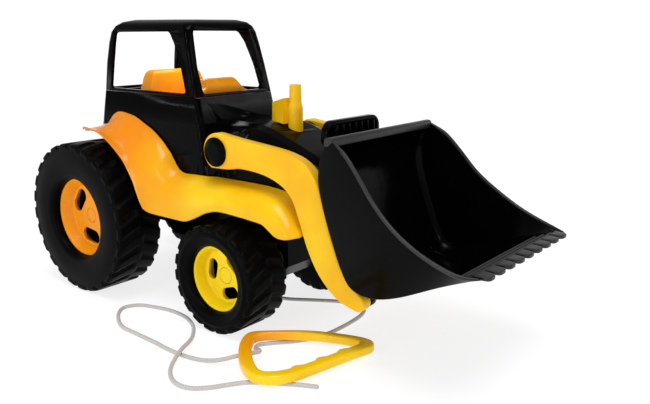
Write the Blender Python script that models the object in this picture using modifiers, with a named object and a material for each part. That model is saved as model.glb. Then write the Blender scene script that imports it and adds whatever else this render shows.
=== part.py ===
"""Toy front loader with a pull cord: four wheels, cab, loader arms and a toothed bucket.

Dimensions are in millimetres. X runs forward from the rear axle, Y to the left and Z up from the
floor; every solid hangs under one empty that moves the rear axle back to REAR_AXLE_X, so that the
middle of the vehicle stands on the origin. Meshes are scaled to metres as they are made.
"""
import math

import bmesh
import bpy
from mathutils import Matrix, Vector

MM = 0.001
GAP = 0.35                  # clearance between neighbouring pieces

# Driving dimensions
REAR_AXLE_X = -198.3        # rear axle, from the middle of the vehicle
WHEELBASE = 205.7
REAR_TYRE_R = 83.3
REAR_TYRE_IN, REAR_TYRE_OUT = 58.0, 115.0
REAR_BORE_R = 44.0
REAR_RIM_H, REAR_DISC_H = 104.0, 92.3    # distances out from the middle: hub's rim edge and face
FRONT_TYRE_R = 54.0
FRONT_TYRE_IN, FRONT_TYRE_OUT = 49.5, 103.5
FRONT_BORE_R = 33.0
FRONT_RIM_H, FRONT_DISC_H = 95.0, 83.0
AXLE_R = 4.0
SEAM_Z = 219.4              # joint between the lower body and the cab frame
ROOF_Z = 296.0
HUB_BOSS_R = 10.0
HUB_CAP_R = 8.0
WALL = 2.5                  # moulded wall of the bodywork
FRAME_HALF = 41.0           # half width of the base frame, between the wheels
ARM_IN, ARM_OUT = 63.0, 75.0
PIVOT = (190.0, 173.0)      # loader arm pivot, X and Z
BUCKET_HINGE = (357.5, 60.0)
BUCKET_EYE_R = 8.0
BUCKET_HALF = 79.0
BUCKET_WALL = 3.0
CORD_R = 2.0
FLOOR_GAP = 0.1             # the cord's lowest point above the floor
HANDLE_LOW, HANDLE_HIGH = 4.5, 13.3
SCREW_SPOTS = [(30.0, -24.0), (30.0, 24.0), (140.0, -24.0), (140.0, 24.0)]

# Bodywork heights along X
HOOD_TOP = [(130, 196), (180, 197), (215, 194), (243, 184.5), (262, 177.5), (278, 171), (288, 164)]
ROOT_TOP = [(-9, 182.5), (-3, 183.5), (2, 186), (6, 190.5), (11, 195), (20, 198), (34, 197.5),
            (48, 194.8), (62, 189.3), (76, 183.5), (85, 178.4), (93.5, 172.9), (100.3, 167.3),
            (106.6, 161.6), (111, 155.8), (115.5, 149.8), (121, 144.6), (128, 142.5), (142, 143),
            (180, 144), (240, 144), (258, 142), (270, 138), (283, 127), (295, 113)]
LIP_LOW = [(-9, 178.5), (0, 180.8), (8, 180.5), (24, 178.5), (38, 173), (46, 168.5), (57, 160.7),
           (68, 151.5), (75.5, 141), (81, 131.5), (85, 121), (89, 111.5), (92.5, 105), (98, 102),
           (106, 100.5), (135, 99), (150, 99.5), (162, 103.5), (172, 108), (184, 113.5), (200, 117.5),
           (230, 117.3), (248, 116.3), (260, 115), (268, 110.5), (275.5, 106.3), (284, 105.3), (295, 107)]
LIP_HALF = [(-9, 89), (0, 93), (67, 94), (90, 92), (110, 88), (135, 85), (180, 86), (260, 87),
            (286, 86), (291, 82), (295, 76)]
FLARE_END_X = 105.0         # the rear fenders' flanks are hollow behind this, full in front of it
ROUND_FLANK = [(0.40, 0.08), (0.75, 0.28), (0.95, 0.60)]    # share of the width out and of the drop
OGEE_FLANK = [(0.20, 0.14), (0.48, 0.58), (0.78, 0.86)]
TAIL_FLANK = [(0.20, 0.55), (0.48, 0.82), (0.78, 0.95)]     # the fenders' rear ends lie nearly flat
TAIL_START_X, TAIL_END_X = 36.0, 8.0
DECK_Z = 137.0
LEAN_Z = 165.0              # the cab's sides lean inwards above this height
REAR_ARCH_R = 93.0

# Loader arm: from the pivot along the top to the bucket end and back along the underside
ARM_TOP = [(203, 189.5), (220, 187.5), (236, 186), (267, 183), (284, 180), (298, 175), (308, 167),
           (316, 155), (322, 137), (330, 112), (340, 89), (350, 75)]
ARM_UNDER = [(343, 55.5), (331, 61.5), (315, 77), (303, 97), (293.5, 121), (285, 140), (272, 151),
             (250, 158), (222, 160), (205, 157.5)]

# Bucket: back and floor (X, Z) from the top rim to the cutting edge, then the free edge (X, Y, Z) of
# the side plates, which spread apart towards it
BUCKET_BACK = [(329, 197), (322, 184), (318.5, 163), (324, 138), (333, 113), (343, 89), (354, 73.5),
               (374, 69.5), (400, 76), (440, 94.5), (465, 105), (474, 108)]
BUCKET_SIDE_EDGE = [(333, 79, 197.5), (349.5, 82.5, 187.5), (364, 85, 173), (383, 88, 152),
                    (405, 91.5, 135), (430, 92, 121), (458, 90, 111), (475, 82, 109.4)]
BUCKET_SECTIONS = 27
OUT_OF_BUCKET = (0.53, 0.85)    # direction from the free edge out of the bucket's mouth, X and Z
TOOTH_COUNT = 9
TOOTH_TIP_X = 480.0

# Pull handle: plan outline, counter-clockwise from the corner by the tyre
HANDLE_OUTLINE = [(251, -98), (260, -119), (281, -141), (301, -154), (317, -157), (331, -149),
                  (340, -133), (345, -113), (349, -92), (354, -68), (358, -50), (352, -41),
                  (338, -41), (314, -49), (290, -61), (266, -80)]
HANDLE_OPENING = [(261.5, -98), (269.5, -113), (288, -131), (303, -142), (314, -146), (323, -140),
                  (330, -127), (335, -109), (339, -89), (343, -68), (345.5, -55), (339.5, -50.3),
                  (317, -57), (293.5, -68.3), (271.5, -84.7)]
FINGER_PITCH, FINGER_FIRST_Y, FINGER_BUMP = 24.5, -74.0, 2.8

# Pull cord, from the base frame over the floor, through the handle and back to its free end
CORD_ROUTE = [
    (178, 0, 46), (178, 0, 36), (178.3, 0.2, 26), (180, 0.8, 16), (184.5, 2, 8), (192, 4, 3.2),
    (205, 8, 2.1), (228, 22, 2.1), (252, 36, 2.1), (272, 41, 2.1), (287, 35, 2.1), (294, 20, 2.1),
    (296.5, 0, 2.1), (297, -18, 2.1), (296, -36, 2.1), (291, -55, 2.1), (281, -71, 2.1),
    (268, -86, 2.1), (261.5, -96.5, 2.1), (265.5, -104.5, 2.4), (273.5, -108, 4.8), (280.8, -116.5, 8.2),
    (277.5, -125, 8.9), (272.5, -135, 8.8), (265, -142.5, 6.4), (254, -148, 3.6), (240, -152, 2.1),
    (222, -155, 2.1), (203, -155, 2.1), (180, -153, 2.1), (150, -151.5, 2.1), (128, -150, 2.1),
    (110, -142, 2.1), (94, -130, 2.1), (86.5, -117, 2.1), (94, -104, 2.1), (112, -97, 2.1),
    (133, -93, 2.1), (157, -95, 2.1), (180, -105, 2.1), (198, -121, 2.5), (210, -136, 4.6),
    (219.5, -152, 6.5), (227, -166, 4.9), (236, -179, 2.6), (249, -189, 2.1), (263, -193.5, 2.1),
    (276, -191, 2.1), (287, -181, 2.1), (295.5, -168, 2.1), (305, -155, 2.1), (320, -144, 2.1),
    (342, -131, 2.1), (357, -124, 2.1)]
CORD_STEP = 11.5            # spacing of the tube's points

PLANES = {                  # local outline (u, v, depth) to the vehicle's axes
    "side": Matrix(((1, 0, 0, 0), (0, 0, -1, 0), (0, 1, 0, 0), (0, 0, 0, 1))),
    "plan": Matrix.Identity(4),
    "front": Matrix(((0, 0, 1, 0), (1, 0, 0, 0), (0, 1, 0, 0), (0, 0, 0, 1))),
}


# ---------------------------------------------------------------- curves and tables

def along(table, x):
    """Height or width at x, on a smooth curve through the table's points."""
    if x <= table[0][0]:
        return table[0][1]
    if x >= table[-1][0]:
        return table[-1][1]
    i = max(k for k in range(len(table) - 1) if table[k][0] <= x)

    def slope(k):
        a, b = table[max(k - 1, 0)], table[min(k + 1, len(table) - 1)]
        return (b[1] - a[1]) / (b[0] - a[0])

    (x0, y0), (x1, y1) = table[i], table[i + 1]
    span = x1 - x0
    t = (x - x0) / span
    h00, h10 = 2 * t**3 - 3 * t**2 + 1, t**3 - 2 * t**2 + t
    return h00 * y0 + h10 * span * slope(i) + (1 - h00) * y1 + (t**3 - t**2) * span * slope(i + 1)


def catmull(points, steps, closed=False):
    """Points on a smooth curve through the given points, with steps intervals between each two."""
    points = [Vector(p) for p in points]
    count = len(points)
    result = []
    for i in range(count if closed else count - 1):
        if closed:
            p0, p1, p2, p3 = (points[(i + k) % count] for k in (-1, 0, 1, 2))
        else:
            p0, p1, p2, p3 = (points[min(max(i + k, 0), count - 1)] for k in (-1, 0, 1, 2))
        for step in range(steps):
            t = step / steps
            result.append(0.5 * (2 * p1 + (p2 - p0) * t + (2 * p0 - 5 * p1 + 4 * p2 - p3) * t**2
                                 + (3 * p1 - p0 - 3 * p2 + p3) * t**3))
    if not closed:
        result.append(points[-1])
    return result


def arc(centre, radius, start, end, steps):
    """Points on a circular arc, angles in degrees."""
    angles = [math.radians(start + (end - start) * k / steps) for k in range(steps + 1)]
    return [(centre[0] + radius * math.cos(a), centre[1] + radius * math.sin(a)) for a in angles]


def rounded(corners, steps=3):
    """A polygon whose corners (u, v, radius) are rounded by arcs."""
    result = []
    for i, (u, v, radius) in enumerate(corners):
        here = Vector((u, v))
        before = (Vector(corners[i - 1][:2]) - here).normalized()
        after = (Vector(corners[(i + 1) % len(corners)][:2]) - here).normalized()
        if radius == 0:
            result.append(here)
            continue
        half = before.angle(after) / 2
        centre = here + (before + after).normalized() * radius / math.sin(half)
        start = here + before * radius / math.tan(half) - centre
        end = here + after * radius / math.tan(half) - centre
        turn = start.angle_signed(end)
        for step in range(steps + 1):
            result.append(centre + Matrix.Rotation(-turn * step / steps, 2) @ start)
    return result


def shifted(points, distances, closed):
    """The outline moved sideways, to its left, by a distance for each point."""
    count = len(points)
    result = []
    for i, point in enumerate(points):
        before = points[i - 1] if closed or i else point
        after = points[(i + 1) % count] if closed or i < count - 1 else point
        way = (Vector(after) - Vector(before)).normalized()
        result.append(Vector(point) + Vector((-way.y, way.x)) * distances[i])
    return result


# ---------------------------------------------------------------- objects and modifiers

def clear_scene():
    for old in list(bpy.data.objects):
        bpy.data.objects.remove(old, do_unlink=True)


def plastic(name, colour, roughness=0.35, metallic=0.0):
    material = bpy.data.materials.new(name)
    material.use_nodes = True
    shader = material.node_tree.nodes["Principled BSDF"]
    shader.inputs["Base Color"].default_value = (*colour, 1.0)
    shader.inputs["Roughness"].default_value = roughness
    shader.inputs["Metallic"].default_value = metallic
    return material


def empty(name, place, parent=None):
    """An empty at a place in vehicle millimetres, or the vehicle's own empty."""
    holder = bpy.data.objects.new(name, None)
    collections["vehicle"].objects.link(holder)
    holder.location = Vector(place) * MM
    holder["place"] = list(place)
    if parent:
        holder.parent = parent
        holder.location = (Vector(place) - Vector(parent["place"])) * MM
    return holder


def from_mesh(name, mesh, material, parent, origin):
    """Put a mesh made in vehicle millimetres on an object whose origin is at origin."""
    mesh.transform(Matrix.Scale(MM, 4) @ Matrix.Translation(-Vector(origin)))
    obj = bpy.data.objects.new(name, mesh)
    obj.location = (Vector(origin) - Vector(parent["place"])) * MM
    obj.parent = parent
    if material is None:
        collections["cutters"].objects.link(obj)
        obj.hide_render = True
        obj.display_type = "WIRE"
    else:
        collections["vehicle"].objects.link(obj)
        mesh.materials.append(material)
    return obj


def prism(name, plane, outlines, low, high, material, parent, origin=(0, 0, 0)):
    """Flat outlines, the first filled and the rest holes in it, with depth from low to high."""
    curve = bpy.data.curves.new(name, "CURVE")
    curve.dimensions = "2D"
    curve.fill_mode = "BOTH"
    curve.extrude = (high - low) / 2
    for outline in outlines:
        spline = curve.splines.new("POLY")
        spline.points.add(len(outline) - 1)
        for point, place in zip(spline.points, outline):
            point.co = (place[0], place[1], 0, 1)
        spline.use_cyclic_u = True
    mesh = curve_mesh(name, curve)
    depth = Vector({"side": (0, 1, 0), "plan": (0, 0, 1), "front": (1, 0, 0)}[plane])
    mesh.transform(Matrix.Translation(depth * (low + high) / 2) @ PLANES[plane])
    return from_mesh(name, mesh, material, parent, origin)


def curve_mesh(name, curve):
    """The welded, outward-facing mesh of a curve."""
    holder = bpy.data.objects.new(name + "_curve", curve)
    bpy.context.scene.collection.objects.link(holder)
    mesh = bpy.data.meshes.new_from_object(holder.evaluated_get(bpy.context.evaluated_depsgraph_get()))
    bpy.data.objects.remove(holder)
    shape = bmesh.new()
    shape.from_mesh(mesh)
    bmesh.ops.remove_doubles(shape, verts=shape.verts, dist=0.01)
    bmesh.ops.recalc_face_normals(shape, faces=shape.faces)
    shape.to_mesh(mesh)
    shape.free()
    return mesh


def loft(name, rings, material, parent, origin=(0, 0, 0)):
    """A closed solid through rings of points, each ring with the same number of points."""
    shape = bmesh.new()
    rows = [[shape.verts.new(point) for point in ring] for ring in rings]
    count = len(rows[0])
    for first, second in zip(rows, rows[1:]):
        for i in range(count):
            j = (i + 1) % count
            shape.faces.new((first[i], first[j], second[j], second[i]))
    shape.faces.new(reversed(rows[0]))
    shape.faces.new(rows[-1])
    bmesh.ops.recalc_face_normals(shape, faces=shape.faces)
    mesh = bpy.data.meshes.new(name)
    shape.to_mesh(mesh)
    shape.free()
    return from_mesh(name, mesh, material, parent, origin)


def turned(name, profile, steps, place, side, material, parent, closed=True):
    """A turned piece: (radius, height) points down its outer side, spun about its own Z.

    side is -1 where the heights grow to the right (-Y), 1 to the left and 0 where they grow up.
    """
    mesh = bpy.data.meshes.new(name)
    half_step = math.pi / steps
    verts = [(r * MM * math.cos(half_step), -r * MM * math.sin(half_step), h * MM) for r, h in profile]
    edges = [(i, i + 1) for i in range(len(profile) - 1)]
    if closed:
        edges.append((len(profile) - 1, 0))
    mesh.from_pydata(verts, edges, [])
    obj = bpy.data.objects.new(name, mesh)
    obj.location = (Vector(place) - Vector(parent["place"])) * MM
    obj.rotation_euler = (-side * math.pi / 2, 0, 0)
    obj.parent = parent
    if material is None:
        collections["cutters"].objects.link(obj)
        obj.hide_render = True
        obj.display_type = "WIRE"
    else:
        collections["vehicle"].objects.link(obj)
        mesh.materials.append(material)
    screw = obj.modifiers.new("Turn", "SCREW")
    screw.steps = screw.render_steps = steps
    screw.use_merge_vertices = True
    screw.merge_threshold = 0.00001
    screw.use_smooth_shade = True
    return obj


def flat_apothem(radius, steps):
    """Corner radius of a turned polygon whose flats lie at the given radius."""
    return radius / math.cos(math.pi / steps)


def bore(name, plane_axis, centre, radius, low, high, parent, steps=16):
    """A cylinder cutter along Y or Z, from low to high."""
    shape = bmesh.new()
    bmesh.ops.create_cone(shape, cap_ends=True, segments=steps, radius1=radius, radius2=radius,
                          depth=high - low)
    mesh = bpy.data.meshes.new(name)
    shape.to_mesh(mesh)
    shape.free()
    middle = (low + high) / 2
    if plane_axis == "Y":
        across = Matrix.Rotation(math.pi / 2, 4, "X")
        mesh.transform(Matrix.Translation((centre[0], middle, centre[1])) @ across)
    else:
        mesh.transform(Matrix.Translation((centre[0], centre[1], middle)))
    return from_mesh(name, mesh, None, parent, (0, 0, 0))


def combine(obj, other, operation):
    modifier = obj.modifiers.new(other.name, "BOOLEAN")
    modifier.operation = operation
    modifier.object = other
    modifier.solver = "EXACT"


def cut(obj, *cutters):
    for cutter in cutters:
        combine(obj, cutter, "DIFFERENCE")


def join(obj, *others):
    """Unite solids that belong to one moulding."""
    for other in others:
        combine(obj, other, "UNION")


def soften(obj, width, segments=1):
    bevel = obj.modifiers.new("Soften", "BEVEL")
    bevel.width = width * MM
    bevel.segments = segments
    bevel.limit_method = "ANGLE"
    bevel.angle_limit = math.radians(40)


# ---------------------------------------------------------------- wheels

def wheel_set(end, axle_x, radius, inner, outer, bore_r, rim_h, disc, slots, steps):
    """Both wheels of one axle, the axle between them and what keeps the wheels on it."""
    tread_r = flat_apothem(radius, steps)
    tyre = [(bore_r, rim_h), (bore_r + 3.5, outer - 1.5), (bore_r + 6, outer), (radius - 2.2, outer),
            (radius - 0.6, outer - 1.6), (tread_r, outer - 5), (tread_r, inner + 5),
            (radius - 1, inner + 1.8), (radius - 4, inner), (HUB_BOSS_R + GAP, inner),
            (HUB_BOSS_R + GAP, inner + WALL), (bore_r, inner + WALL)]
    rim = bore_r - GAP
    face_r = rim - 6.0 * radius / FRONT_TYRE_R
    hub = [(rim - 2.2, rim_h), (rim, rim_h), (rim, disc - 12), (rim - 3, disc - 12), (rim - 3, disc - 2.5),
           (HUB_BOSS_R, disc - 3), (HUB_BOSS_R, 50.0), (AXLE_R + GAP, 50.0), (AXLE_R + GAP, disc - 6.5),
           (HUB_CAP_R + GAP, disc - 6.5), (HUB_CAP_R + GAP, disc), (face_r, disc),
           (face_r + 1.5, disc + 1.5)]
    nut = [(AXLE_R + GAP, disc - 4.0), (7.0, disc - 4.0), (7.0, disc - 6.0), (AXLE_R + GAP, disc - 6.0)]
    cap = [(0.0, disc + 0.8), (4.5, disc + 0.5), (HUB_CAP_R, disc - 0.3), (HUB_CAP_R, disc - 2.2),
           (0.0, disc - 2.2)]
    length, width, centre_r, angles = slots
    for word, side in (("right", -1), ("left", 1)):
        place = (axle_x, 0, radius)
        body = empty(f"wheel_{end}_{word}", place, vehicle)
        turned(f"tyre_{end}_{word}", tyre, steps, place, side, rubber, body)
        rim_piece = turned(f"hub_{end}_{word}", hub, steps, place, side, yellow, body)
        for number, angle in enumerate(angles):
            slot = slot_cutter(f"slot_{end}_{word}_{number}", length, width, centre_r, angle, disc)
            slot.location = rim_piece.location
            slot.rotation_euler = rim_piece.rotation_euler
            slot.parent = body
            cut(rim_piece, slot)
        turned(f"push_nut_{end}_{word}", nut, 16, place, side, steel, body)
        turned(f"hub_cap_{end}_{word}", cap, 20, place, side, yellow, body, closed=False)
    reach = disc - 3.4
    axle = [(0.0, reach), (AXLE_R - 0.6, reach), (AXLE_R, reach - 0.8), (AXLE_R, -reach + 0.8),
            (AXLE_R - 0.6, -reach), (0.0, -reach)]
    turned(f"axle_{end}", axle, 16, (axle_x, 0, radius), -1, steel, vehicle, closed=False)


def slot_cutter(name, length, width, centre_r, angle, disc):
    """A round-ended slot, long across the radius, in a hub's own frame."""
    half = (length - width) / 2
    outline = arc((half, 0), width / 2, -90, 90, 8) + arc((-half, 0), width / 2, 90, 270, 8)
    curve = bpy.data.curves.new(name, "CURVE")
    curve.dimensions = "2D"
    curve.fill_mode = "BOTH"
    curve.extrude = 6.0
    spline = curve.splines.new("POLY")
    spline.points.add(len(outline) - 1)
    for point, (u, v) in zip(spline.points, outline):
        point.co = (u, v, 0, 1)
    spline.use_cyclic_u = True
    mesh = curve_mesh(name, curve)
    turn = math.radians(angle)
    away = Vector((centre_r * math.cos(turn), centre_r * math.sin(turn), disc))
    spin = Matrix.Rotation(turn + math.pi / 2, 4, "Z")
    mesh.transform(Matrix.Scale(MM, 4) @ Matrix.Translation(away) @ spin)
    cutter = bpy.data.objects.new(name, mesh)
    collections["cutters"].objects.link(cutter)
    cutter.hide_render = True
    cutter.display_type = "WIRE"
    return cutter


# ---------------------------------------------------------------- bodywork

def deck_height(x):
    """Top of the fender moulding inside the bodywork: an arch over the rear tyres, then flat."""
    arch = REAR_TYRE_R + math.sqrt(max(REAR_ARCH_R**2 - x**2, 0))
    return min(max(DECK_Z, arch), along(ROOT_TOP, x) - 0.8)


def body_half(x, z):
    """Half width of the black bodywork: the cab leans in towards the top, the hood is narrower."""
    cab = 60.0 - max(z - LEAN_Z, 0) * 0.085
    hood = 56.0 - max(x - 250, 0) * 0.12
    blend = min(max((x - 164) / 8, 0), 1)
    return cab * (1 - blend) + hood * blend


def fender_ring(x, closed_end):
    """Section of the fender moulding at x, right to left over the top and back underneath."""
    top, lip = along(ROOT_TOP, x), along(LIP_LOW, x)
    edge = along(LIP_HALF, x)
    deck = deck_height(x)
    inner = body_half(x, top) + 2 * GAP
    foot = body_half(x, deck) + 2 * GAP
    knee_z = min(max(LEAN_Z, deck + 0.2 * (top - deck)), top - 0.2 * (top - deck))
    knee = body_half(x, knee_z) + 2 * GAP
    wide, drop = edge - inner, top - lip
    ogee = min(max((FLARE_END_X - x) / 50, 0), 1)
    flank = [(inner, top)]
    tail = min(max((TAIL_START_X - x) / (TAIL_START_X - TAIL_END_X), 0), 1)
    for (out_a, down_a), (out_b, down_b), (out_c, down_c) in zip(ROUND_FLANK, OGEE_FLANK, TAIL_FLANK):
        out = out_a + (out_b - out_a) * ogee + (out_c - out_b) * tail
        down = down_a + (down_b - down_a) * ogee + (down_c - down_b) * tail
        flank.append((inner + wide * out, top - drop * down))
    flank.append((edge, lip))
    outside = [(foot, deck), (knee, knee_z)] + flank
    if closed_end:
        inside = [(edge - 3, lip), (edge - 7, lip), (inner + 14, lip), (inner + 9, lip), (inner + 3.4, lip),
                  (foot - 4, lip)]
    else:
        under = [tuple(p) for p in shifted(flank, [-3.0] * len(flank), False)]
        inside = [(edge - 3, lip)] + under[3:0:-1] + [(inner + 3.2, top - 3.6), (foot + 2.8, deck - 3)]
    half = outside + inside
    right = [(x, -y, z) for y, z in half]
    left = [(x, y, z) for y, z in reversed(half)]
    return right + left


def fender_moulding():
    """Yellow upper chassis: rear fenders, step, front mudguards and the deck under the bodywork."""
    stations = [-9, -5, 0, 3, 6, 11, 20, 34, 46, 56, 66, 73, 77, 84, 90, 96, 101, 106, 110, 114,
                119, 126, 136, 150, 164, 172, 184, 200, 230, 248, 258, 266, 273, 280, 286]
    rings = [fender_ring(x, False) for x in stations] + [fender_ring(x, True) for x in (287, 291, 295)]
    return loft("fender_moulding", rings, yellow, vehicle)


def base_frame():
    """Black tub between the wheels, which carries both axles and the tow hole."""
    top = [(248, 132.5), (160, DECK_Z - 3.6), (77, DECK_Z - 3.6)]
    arch = [(x, REAR_TYRE_R + math.sqrt(89.4**2 - x**2)) for x in (66, 52, 36, 18, 0, -18, -30)]
    under = [(-30, 77), (68, 77), (80, 66), (150, 66), (172, 46), (236, 46), (250, 61), (250, 122)]
    outline = top + arch + under
    tub = prism("base_frame", "side", [outline], -FRAME_HALF, FRAME_HALF, black, vehicle)
    inner_top = [(248 - 4, 140), (60, 140), (40, 176), (-24, 176)]
    inner_under = [(-26, 81), (69, 81), (82, 70), (152, 70), (174, 50), (234, 50), (246, 63), (246, 140)]
    hollow = prism("frame_hollow", "side", [inner_top + inner_under], -FRAME_HALF + 3, FRAME_HALF - 3,
                   None, vehicle)
    bosses = []
    for end, x, z in (("rear", 0, REAR_TYRE_R), ("front", WHEELBASE, FRONT_TYRE_R)):
        bosses.append(bore(f"axle_boss_{end}", "Y", (x, z), 8.0, -49.4, 49.4, vehicle, 20))
    cut(tub, hollow)
    join(tub, *bosses)
    cut(tub, prism("frame_hollow_again", "side", [inner_top + inner_under], -FRAME_HALF + 3.2,
                   FRAME_HALF - 3.2, None, vehicle))
    for end, x, z in (("rear", 0, REAR_TYRE_R), ("front", WHEELBASE, FRONT_TYRE_R)):
        cut(tub, bore(f"axle_way_{end}", "Y", (x, z), AXLE_R + GAP, -60, 60, vehicle))
    cut(tub, bore("tow_hole", "Z", (178, 0), CORD_R + 0.5, 40, 54, vehicle))
    for number, (x, y) in enumerate(SCREW_SPOTS):
        cut(tub, bore(f"screw_way_{number}", "Z", (x, y), 2.3, 60, 90, vehicle, 12))
    return tub


def screws():
    """Self-tapping screws up through the frame's floor, heads below."""
    for number, (x, y) in enumerate(SCREW_SPOTS):
        floor = 77.0 if x < 60 else 66.0
        profile = [(0.0, floor + 22), (1.4, floor + 19), (1.4, floor - GAP), (4.0, floor - GAP),
                   (3.4, floor - 2.4), (0.0, floor - 2.4)]
        turned(f"frame_screw_{number + 1}", profile, 12, (x, y, 0), 0, steel, vehicle, closed=False)


def cab_ring(z, rear, front, half, corner=6.0, inset=0.0):
    """Horizontal section of the cab with rounded corners."""
    corners = [(front - inset, half - inset, corner), (rear + inset, half - inset, corner),
               (rear + inset, -half + inset, corner), (front - inset, -half + inset, corner)]
    return [(p[0], p[1], z) for p in rounded(corners, 3)]


def lower_cab_rings(inset, low, high):
    rings = []
    for z in (low, 165, 192, high):
        front = 155.0 - (z - 165.0) * 0.197
        rear = -19.0 + (z - 174.0) * 0.140
        half = body_half(0, z)
        rings.append(cab_ring(z, rear, front, half, 6.0, inset))
    return rings


def hood_ring(x, inset, low):
    """Vertical section of the hood: flat crown, shoulders that slope out, upright flanks."""
    top = along(HOOD_TOP, x) - inset
    half = body_half(max(x, 170), 150) - inset
    shoulder = min(12.0, 0.3 * (top - 142))
    right = [(half, low), (half, top - 2.6 * shoulder), (half - 7, top - 1.2 * shoulder),
             (36 - inset, top - 3.0), (28 - inset, top), (0, top + 1.2)]
    return [(x, -y, z) for y, z in right] + [(x, y, z) for y, z in reversed(right[:-1])]


def body_shell():
    """Black lower bodywork: the lower half of the cab and the hood, open below and into the cab."""
    shell = loft("body_shell", lower_cab_rings(0.0, 125, SEAM_Z), black, vehicle)
    stations = [130, 150, 180, 200, 215, 230, 243, 256, 268, 278, 285, 288]
    hood = loft("hood_solid", [hood_ring(x, 0.0 if x < 287 else 2.0, 105) for x in stations], None, vehicle)
    boss = bore("pivot_boss", "Y", PIVOT, 16, -62.6, 62.6, vehicle, 28)
    join(shell, hood, boss)
    below = [(x, deck_height(x) + GAP) for x in range(-40, 320, 6)] + [(330, 60), (-60, 60)]
    cut(shell, prism("below_deck", "side", [below], -80, 80, None, vehicle))
    cab_room = loft("cab_room", lower_cab_rings(WALL, 110, SEAM_Z + 12), None, vehicle)
    hood_room = loft("hood_room", [hood_ring(x, WALL, 100) for x in (157, 180, 200, 215, 230, 243, 256, 268,
                                                                    278, 285)], None, vehicle)
    cut(shell, cab_room, hood_room, bore("pivot_bore", "Y", PIVOT, AXLE_R + GAP, -70, 70, vehicle))
    cut(shell, bore("stack_way", "Z", (226, 0), 7.4 + GAP, 170, 210, vehicle, 20))
    return shell


CAB_LEVELS = [(SEAM_Z + GAP, -12.6, 144.3, 55.3, 6.0), (250, -9.2, 137.0, 53.6, 6.0),
              (272, -5.2, 131.6, 51.9, 6.5), (283, -2.4, 129.0, 50.4, 7.0), (289.5, 2.0, 126.6, 48.0, 8.0),
              (293.6, 9.0, 123.0, 44.0, 9.0), (ROOF_Z, 20.0, 116.0, 37.0, 12.0)]


def cab_frame():
    """Black cab top: roof, four pillars and a thin sill, with open windows all round."""
    frame = loft("cab_frame", [cab_ring(z, rear, front, half, corner)
                               for z, rear, front, half, corner in CAB_LEVELS], black, vehicle)
    inner = [(200, -12.3, 146.0, 55.3, 6.0)] + CAB_LEVELS[:5]
    room = loft("frame_room", [cab_ring(z, rear, front, half, corner, 3.6)
                               for z, rear, front, half, corner in inner], None, vehicle)
    side_window = rounded([(127.5, 223, 3), (119.5, 249, 60), (108.5, 273, 12), (100, 284, 7), (9, 284, 4),
                           (1.5, 230, 20), (0.5, 223, 3)], 3)
    windscreen = rounded([(-46, 223, 3), (46, 223, 3), (47, 250, 30), (43, 287, 6), (-43, 287, 6),
                          (-47, 250, 30)], 3)
    rear_window = rounded([(-45.5, 223, 3), (45.5, 223, 3), (44, 283, 7), (-44, 283, 7)], 3)
    cut(frame, room,
        prism("side_windows", "side", [side_window], -70, 70, None, vehicle),
        prism("windscreen_way", "front", [windscreen], 100, 160, None, vehicle),
        prism("rear_window_way", "front", [rear_window], -30, 24, None, vehicle))
    return frame


def seat():
    """Driver's seat: cushion on a pedestal with a rounded backrest."""
    outline = rounded([(30, 172.2, 0), (42, 172.2, 0), (76, 150, 4), (80, 137.6, 0), (96, 137.6, 0),
                       (98, 196, 5), (90, 205, 4), (55, 206, 5), (49, 242, 4), (35, 242, 4),
                       (31, 208, 6)], 2)
    piece = prism("seat", "side", [outline], -40, 40, orange, vehicle)
    sides = rounded([(-40, 120, 0), (40, 120, 0), (40, 218, 14), (33, 244, 13), (-33, 244, 13),
                     (-40, 218, 14)], 3)
    trim = prism("seat_sides", "front", [sides], 20, 110, None, vehicle)
    combine(piece, trim, "INTERSECT")
    room = [(34, 140), (94.5, 130), (94.5, 195), (88, 201.5), (52, 202.5), (34, 204)]
    cut(piece, prism("seat_room", "side", [room], -36.5, 36.5, None, vehicle))
    return piece


def dashboard():
    """Instrument cowl behind the windscreen, with a raised middle and lower shoulders."""
    side = rounded([(104, 137.6, 0), (124, 137.6, 0), (126, 228, 5), (118, 236, 5), (108, 234, 4)], 2)
    piece = prism("dashboard", "side", [side], -38, 38, orange, vehicle)
    front = rounded([(-38, 130, 0), (38, 130, 0), (38, 219, 7), (25, 226, 5), (21, 236, 6), (-21, 236, 6),
                     (-25, 226, 5), (-38, 219, 7)], 2)
    combine(piece, prism("dash_sides", "front", [front], 95, 140, None, vehicle), "INTERSECT")
    room = [(-35, 125), (35, 125), (35, 216), (22, 222.5), (18, 232), (-18, 232), (-22, 222.5), (-35, 216)]
    cut(piece, prism("dash_room", "front", [room], 109, 121, None, vehicle))
    return piece


def hood_fittings():
    """Exhaust stack through the hood and the intake box behind it."""
    stack = [(4.2, 234), (5.9, 234), (6.0, 217), (7.3, 211), (7.4, 178), (4.6, 178), (4.2, 182)]
    turned("exhaust_stack", stack, 24, (226, 0, 0), 0, yellow, vehicle)
    low = [(x, along(HOOD_TOP, x) + 1.2 + GAP) for x in (217, 210, 202)]
    box = prism("intake_box", "side", [low + [(202.5, 216), (217, 220.5)]], -8.5, 8.5, yellow, vehicle)
    soften(box, 1.2)


# ---------------------------------------------------------------- loader

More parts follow.
